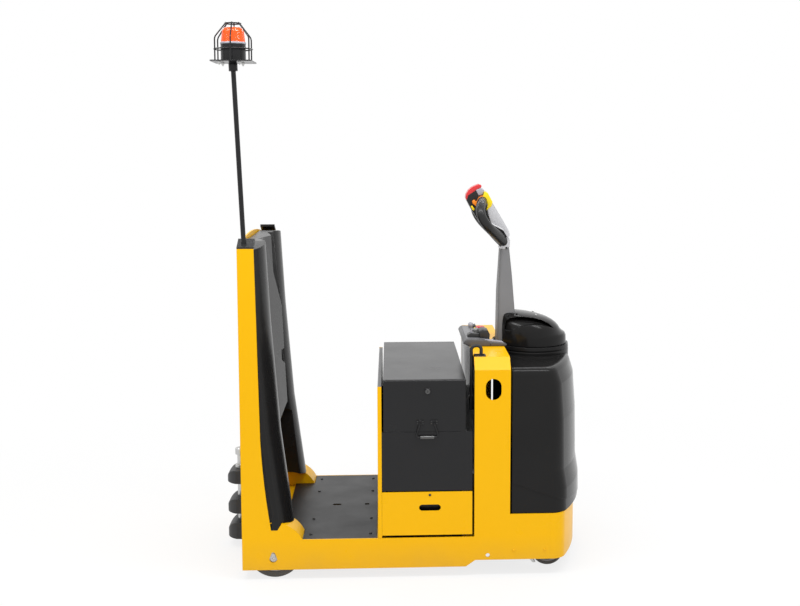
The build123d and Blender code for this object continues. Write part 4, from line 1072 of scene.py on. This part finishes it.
class TUG_OT_fit_beacon(bpy.types.Operator):
    """Model the ribbed lens, its ring, the pole's clasp and the mount's bolts"""

    bl_idname = "tug.fit_beacon"
    bl_label = "Fit beacon"

    ribs = 7
    # shares of the lens's radius: a rib's crown and valley, and how much the top rib draws in
    crown, valley, draw_in = 0.995, 0.975, 0.09
    # the ribs' foot, the crown's height over it, and how much of the lens's height has no ribs
    rib_foot, rib_half, plain_height = 0.006, 0.0025, 0.022
    # the rounded top: share of the lens's radius, and how far under its top
    cap = ((0.88, 0.012), (0.80, 0.005), (0.62, 0.001), (0.3, 0))
    # the ring's levels: out from the lens's radius, over its foot
    ring = ((0.0025, -0.004), (0.0025, 0.002), (0.001, 0.0035), (-0.006, 0.0035))
    pole_radius, pole_lean = 0.009, (-0.044, 0.04, 1)
    clasp_levels = ((0.0165, -0.034), (0.0165, -0.006), (0.0145, -0.004))
    bolt_radius = 0.0058
    # from the mount's corner, to the four bolts
    bolt_places = ((0.030, 0.040), (0.105, 0.040), (0.030, 0.130), (0.105, 0.130))

    def execute(self, context):
        low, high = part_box("beacon_lens")
        centre = (low + high) / 2
        radius = (high.x - low.x) / 2
        height = high.z - low.z
        levels = [(radius, 0), (radius, 0.004)]
        for rib in range(self.ribs):
            rise = self.rib_foot + rib * (height - self.plain_height) / self.ribs
            width = radius * (1 - self.draw_in * rib / self.ribs)
            crown, valley = self.crown * width, self.valley * width
            levels += [(valley, rise), (crown, rise + self.rib_half), (valley, rise + 2 * self.rib_half)]
        levels += [(radius * share, height - drop) for share, drop in self.cap]
        place = (centre.x, centre.y, low.z)
        lens = turned("ribbed_lens", levels, place, UP, 48)
        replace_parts(fit_out(lens, "chassis", "lens_orange", "lens"), "beacon_lens")
        ring_levels = [(radius + out, rise) for out, rise in self.ring]
        ring = turned("lens_ring", ring_levels, place, UP, 48, 0.0005)
        fit_out(ring, "chassis", "frame_black", "light grey")
        pole_low, pole_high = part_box("beacon_pole")
        pole_end = (pole_low.x + self.pole_radius, pole_high.y - self.pole_radius, pole_high.z)
        clasp = turned("pole_clasp", self.clasp_levels, pole_end, self.pole_lean, 28, 0.0008)
        fit_out(clasp, "chassis", "frame_black", "black paint")
        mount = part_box("beacon_mount")[0]
        seated_fasteners(
            "mount_bolts", "chassis", "zinc", "zinc", "hexagon", self.bolt_radius,
            [("beacon_mount", (mount.x + x, mount.y + y, mount.z - 0.1), UP) for x, y in self.bolt_places],
        )
        return {"FINISHED"}


class TUG_OT_fit_battery_box(bpy.types.Operator):
    """Model the lid's lock, the handles' rivets and sleeves, and the lead's grommet and clip"""

    bl_idname = "tug.fit_battery_box"
    bl_label = "Fit battery box"

    lock_levels = ((0.0092, -0.001), (0.0092, 0.0022), (0.0078, 0.0030), (0.0060, 0.0030), (0.0056, 0.0012))
    keyway_half_width, keyway_half_height = 0.0012, 0.0045
    rivet_x, rivet_z = (-0.0365, -0.0165, 0.0165, 0.0365), (-0.004, 0.004)
    sleeve_levels = ((0.0062, -0.026), (0.0068, -0.024), (0.0068, 0.024), (0.0062, 0.026))
    # the hoop's notch: its distance from the hoop's right end, its length, its width and the lip's depth
    notch_y, notch_length, notch_width, lip = 0.044, 0.046, 0.044, 0.0022
    clip_y, clip_rise, clip_lean = -0.2815, 0.05, (0, -0.12, 1)

    def lock(self):
        """The lid's lock on its plate, with its keyway."""
        low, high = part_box("lid_lock")
        centre = (low + high) / 2
        cylinder = turned(
            "lock_cylinder", self.lock_levels, (centre.x, low.y, centre.z), (0, -1, 0), 32, 0.0002
        )
        fit_out(cylinder, "battery_lid", "zinc", "dark zinc with painted highlight")
        x, z = self.keyway_half_width, self.keyway_half_height
        outline = [(centre.x + dx, centre.z + dz) for dx, dz in ((-x, -z), (-x, z), (x, z), (x, -z))]
        # the keyway is a dark slab on the cylinder's face: painted shade of the key slot
        keyway = slab("lock_keyway", outline, 0.0014, 0.0002, middle=low.y - 0.0011)
        fit_out(keyway, "battery_lid", "frame_black", "dark plastic")

    def handles(self):
        """Rivets on the handles' pads and a sleeve on each bar."""
        low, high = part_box("lid_handles")
        middle = (low.x + high.x) / 2
        pad_z = high.z - 0.009
        for side, sign in SIDES:
            seated_fasteners(
                f"{side}_handle_rivets", "battery_lid", "zinc", "casting", "rivet", 0.0028,
                [
                    ("lid_handles", (middle + dx, sign * OUTSIDE, pad_z + dz), (0, -sign, 0))
                    for dx in self.rivet_x
                    for dz in self.rivet_z
                ],
            )
        bar_y, bar_z = abs(low.y) - 0.004, low.z + 0.004
        sleeves = [
            turned("sleeve", self.sleeve_levels, (middle, sign * bar_y, bar_z), (1, 0, 0), 20)
            for _, sign in SIDES
        ]
        fit_out(joined("handle_sleeves", sleeves), "battery_lid", "zinc", "dark zinc with painted highlight")

    def lead_fittings(self):
        """The grommet round the hoop's notch and the clip on the lead's foot."""
        low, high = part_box("console_hoop")
        start = low.x + 0.003
        end = low.x + self.notch_length - self.lip
        near = low.y + self.notch_y + self.lip
        far = low.y + self.notch_y + self.notch_width - self.lip
        route = [(start, near), (end, near), (end, far), (start, far)]
        path = []
        for (x, y), (next_x, next_y) in zip(route, route[1:]):
            path += [(x, y, high.z), (x + 0.9 * (next_x - x), y + 0.9 * (next_y - y), high.z)]
        path.append((*route[-1], high.z))
        fit_out(tube("notch_grommet", path, 0.0034), "chassis", "lead_rubber", "rubber")
        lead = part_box("battery_lead")[0]
        clip = turned(
            "lead_clip", ((0.0095, -0.006), (0.0095, 0.006)),
            (lead.x + 0.0105, self.clip_y, lead.z + self.clip_rise), self.clip_lean, 24, 0.001,
        )
        fit_out(clip, "chassis", "zinc", "zinc")

    def execute(self, context):
        self.lock()
        self.handles()
        self.lead_fittings()
        return {"FINISHED"}


class TUG_OT_fit_wheels(bpy.types.Operator):
    """Model the wheel nuts, the castors' axle nuts and the rear axles' keepers"""

    bl_idname = "tug.fit_wheels"
    bl_label = "Fit wheels"

    # wheel, its body, its nuts, their circle's radius and how deep the rim's face lies
    wheels = (
        ("right_rear", "right_rear_wheel", 5, 0.048, 0.018),
        ("left_rear", "left_rear_wheel", 5, 0.048, 0.018),
        ("drive", "drive_wheel", 6, 0.055, 0.014),
    )
    nut_radius, castor_nut_radius, keeper_bolt_radius = 0.0075, 0.0085, 0.0055
    first_nut_turn = 0.3
    # the axle keeper in X and Z, and the middle of its thickness along Y
    keeper = (
        (-0.510, 0.080), (-0.5075, 0.073), (-0.499, 0.0695), (-0.4905, 0.073), (-0.488, 0.080),
        (-0.4935, 0.100), (-0.499, 0.1035), (-0.5045, 0.100),
    )
    keeper_y = 0.3915
    keeper_bolt_place = (-0.499, 0.3935, 0.082)

    def nuts(self, wheel, body, count, circle, depth):
        """A ring of nuts on both faces of a wheel's rim."""
        low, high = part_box(f"{wheel}_rim")
        centre = (low + high) / 2
        seats = []
        for sign in (-1, 1):
            face = (high.y if sign > 0 else low.y) - sign * (depth - 0.0005)
            for index in range(count):
                turn = 2 * pi * index / count + self.first_nut_turn
                place = (centre.x + circle * cos(turn), face, centre.z + circle * sin(turn))
                seats.append((place, (0, sign, 0)))
        fasteners(f"{wheel}_nuts", body, "zinc", "zinc", "hexagon", self.nut_radius, seats)

    def execute(self, context):
        for row in self.wheels:
            self.nuts(*row)
        for side, sign in SIDES:
            low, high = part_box(f"{side}_castor_fork")
            centre = middle_of(f"{side}_castor_rim")
            fasteners(
                f"{side}_castor_nuts", f"{side}_castor", "zinc", "zinc", "hexagon", self.castor_nut_radius,
                [((centre.x, y, centre.z), (0, outwards, 0)) for y, outwards in ((low.y, -1), (high.y, 1))],
            )
            keeper = slab(f"{side}_axle_keeper", self.keeper, 0.0022, 0.001, middle=sign * self.keeper_y)
            fit_out(keeper, "chassis", "zinc", "zinc")
            x, y, z = self.keeper_bolt_place
            fasteners(
                f"{side}_keeper_bolt", "chassis", "zinc", "zinc", "hexagon", self.keeper_bolt_radius,
                [((x, sign * y, z), (0, sign, 0))],
            )
        return {"FINISHED"}


class TUG_OT_fit_coupling(bpy.types.Operator):
    """Model the tow pin's pull ring"""

    bl_idname = "tug.fit_coupling"
    bl_label = "Fit coupling"

    ring_radius, wire_radius, ring_drop, ring_points = 0.024, 0.0024, 0.013, 8
    # how far each point lies forward of the last, as in a split ring
    ring_pitch = 0.0005

    def execute(self, context):
        centre = middle_of("tow_pin")
        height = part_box("tow_pin")[1].z - self.ring_drop
        path = []
        for point in range(self.ring_points):
            turn = 2 * pi * point / self.ring_points
            path.append((
                centre.x + self.ring_pitch * point,
                centre.y + self.ring_radius * cos(turn),
                height + self.ring_radius * sin(turn),
            ))
        fit_out(tube("pin_ring", path, self.wire_radius, closed=True), "tow_pin", "zinc", "zinc")
        return {"FINISHED"}


class TUG_OT_set_stage(bpy.types.Operator):
    """Set the floor, the light and the camera"""

    bl_idname = "tug.set_stage"
    bl_label = "Set stage"

    floor_radius = 40
    # how much of the floor's own white shows, by the distance from the machine's middle
    floor_fade = {"From Min": 0.8, "From Max": 2.6, "To Min": 0.8, "To Max": 1.0}
    # lamp, its place, the point it is aimed at and its share of the key power
    lamps = (
        ("overhead near", (0.1, -1.1, 3.1), (0.1, -0.3, 0.6), 1.0),
        ("overhead far", (0.1, 1.6, 3.1), (0.1, 0.2, 0.6), 0.4),
    )
    lamp_length, lamp_width = 4.4, 0.24
    sensor_width = 36

    def seen_rays(self, tree):
        """Rays that meet the background: from the camera, through glass or off a glossy face."""
        paths = add_node(tree, "LightPath").outputs
        direct = math_node(tree, "ADD", paths["Is Camera Ray"], paths["Is Transmission Ray"])
        return math_node(tree, "ADD", direct, paths["Is Glossy Ray"])

    def world(self, fill):
        """Soft light from all round, with a white sky behind the machine and in its reflections."""
        world = bpy.data.worlds.new("studio")
        world.use_nodes = True
        tree = world.node_tree
        tree.nodes.clear()
        light = add_node(tree, "Background", {"Color": (1, 1, 1, 1), "Strength": fill})
        white = add_node(tree, "Background", {"Color": (1, 1, 1, 1)})
        mix = add_node(tree, "MixShader", {0: self.seen_rays(tree), 1: light.outputs[0], 2: white.outputs[0]})
        add_node(tree, "OutputWorld", {"Surface": mix.outputs[0]})
        return world

    def floor(self):
        """A white floor that keeps the machine's shadow."""
        select_none()
        bpy.ops.mesh.primitive_circle_add(
            vertices=64, radius=self.floor_radius, fill_type="NGON", location=(0, 0, -0.0005)
        )
        floor = bpy.context.object
        floor.name = "floor"
        material, tree, shader = new_material("studio floor")
        set_inputs(
            tree, shader, {"Base Color": (0.93, 0.93, 0.93, 1), "Roughness": 0.9, "Specular IOR Level": 0.1}
        )
        glow = add_node(tree, "Emission")
        place = add_node(tree, "TexCoord").outputs["Object"]
        distance = add_node(tree, "VectorMath", {0: place}, operation="LENGTH").outputs["Value"]
        fade = add_node(tree, "MapRange", {"Value": distance, **self.floor_fade})
        share = math_node(tree, "MULTIPLY", self.seen_rays(tree), fade.outputs["Result"])
        mix = add_node(tree, "MixShader", {0: share, 1: shader.outputs[0], 2: glow.outputs[0]})
        set_inputs(tree, tree.nodes["Material Output"], {"Surface": mix.outputs[0]})
        floor.data.materials.append(material)

    def lamp(self, name, place, target, power):
        """A soft rectangular light aimed at a point."""
        select_none()
        bpy.ops.object.light_add(type="AREA", location=place)
        lamp = bpy.context.object
        lamp.name = name
        lamp.data.shape = "RECTANGLE"
        lamp.data.size, lamp.data.size_y = self.lamp_length, self.lamp_width
        lamp.data.energy = power
        lamp.rotation_euler = (Vector(target) - Vector(place)).to_track_quat("-Z", "Y").to_euler()

    def execute(self, context):
        stage = context.scene.tug_stage
        context.scene.world = self.world(stage.fill)
        self.floor()
        for name, place, target, share in self.lamps:
            self.lamp(name, place, target, stage.key_power * share)
        bpy.ops.object.camera_add(location=stage.camera_place)
        camera = context.object
        camera.rotation_euler = (pi / 2 - stage.camera_pitch, 0, stage.camera_yaw)
        camera.data.lens = stage.lens
        camera.data.sensor_width = self.sensor_width
        camera.data.shift_x, camera.data.shift_y = stage.shift_x, stage.shift_y
        context.scene.camera = camera
        context.scene.view_settings.view_transform = "Standard"
        return {"FINISHED"}


class TUG_PT_dressing(bpy.types.Panel):
    """The dressing steps in their order"""

    bl_idname = "TUG_PT_dressing"
    bl_label = "Tow tractor"
    bl_space_type = "VIEW_3D"
    bl_region_type = "UI"
    bl_category = "Tractor"

    def draw(self, context):
        for operator in OPERATORS:
            self.layout.operator(operator.bl_idname)


OPERATORS = (
    TUG_OT_mix_finishes,
    TUG_OT_add_fasteners,
    TUG_OT_fit_tiller_head,
    TUG_OT_fit_console,
    TUG_OT_fit_hood,
    TUG_OT_fit_beacon,
    TUG_OT_fit_battery_box,
    TUG_OT_fit_wheels,
    TUG_OT_fit_coupling,
    TUG_OT_set_stage,
)
SETTINGS = (("tug_finish", FinishSettings), ("tug_fittings", FittingSettings), ("tug_stage", StageSettings))


def register():
    for _, settings in SETTINGS:
        bpy.utils.register_class(settings)
    for name, settings in SETTINGS:
        setattr(bpy.types.Scene, name, bpy.props.PointerProperty(type=settings))
    for operator in OPERATORS:
        bpy.utils.register_class(operator)
    bpy.utils.register_class(TUG_PT_dressing)


def unregister():
    bpy.utils.unregister_class(TUG_PT_dressing)
    for operator in reversed(OPERATORS):
        bpy.utils.unregister_class(operator)
    for name, settings in reversed(SETTINGS):
        delattr(bpy.types.Scene, name)
        bpy.utils.unregister_class(settings)


def main():
    """Dress the machine."""
    register()
    for operator in OPERATORS:
        family, step = operator.bl_idname.split(".")
        getattr(getattr(bpy.ops, family), step)()


if __name__ == "__main__":
    main()
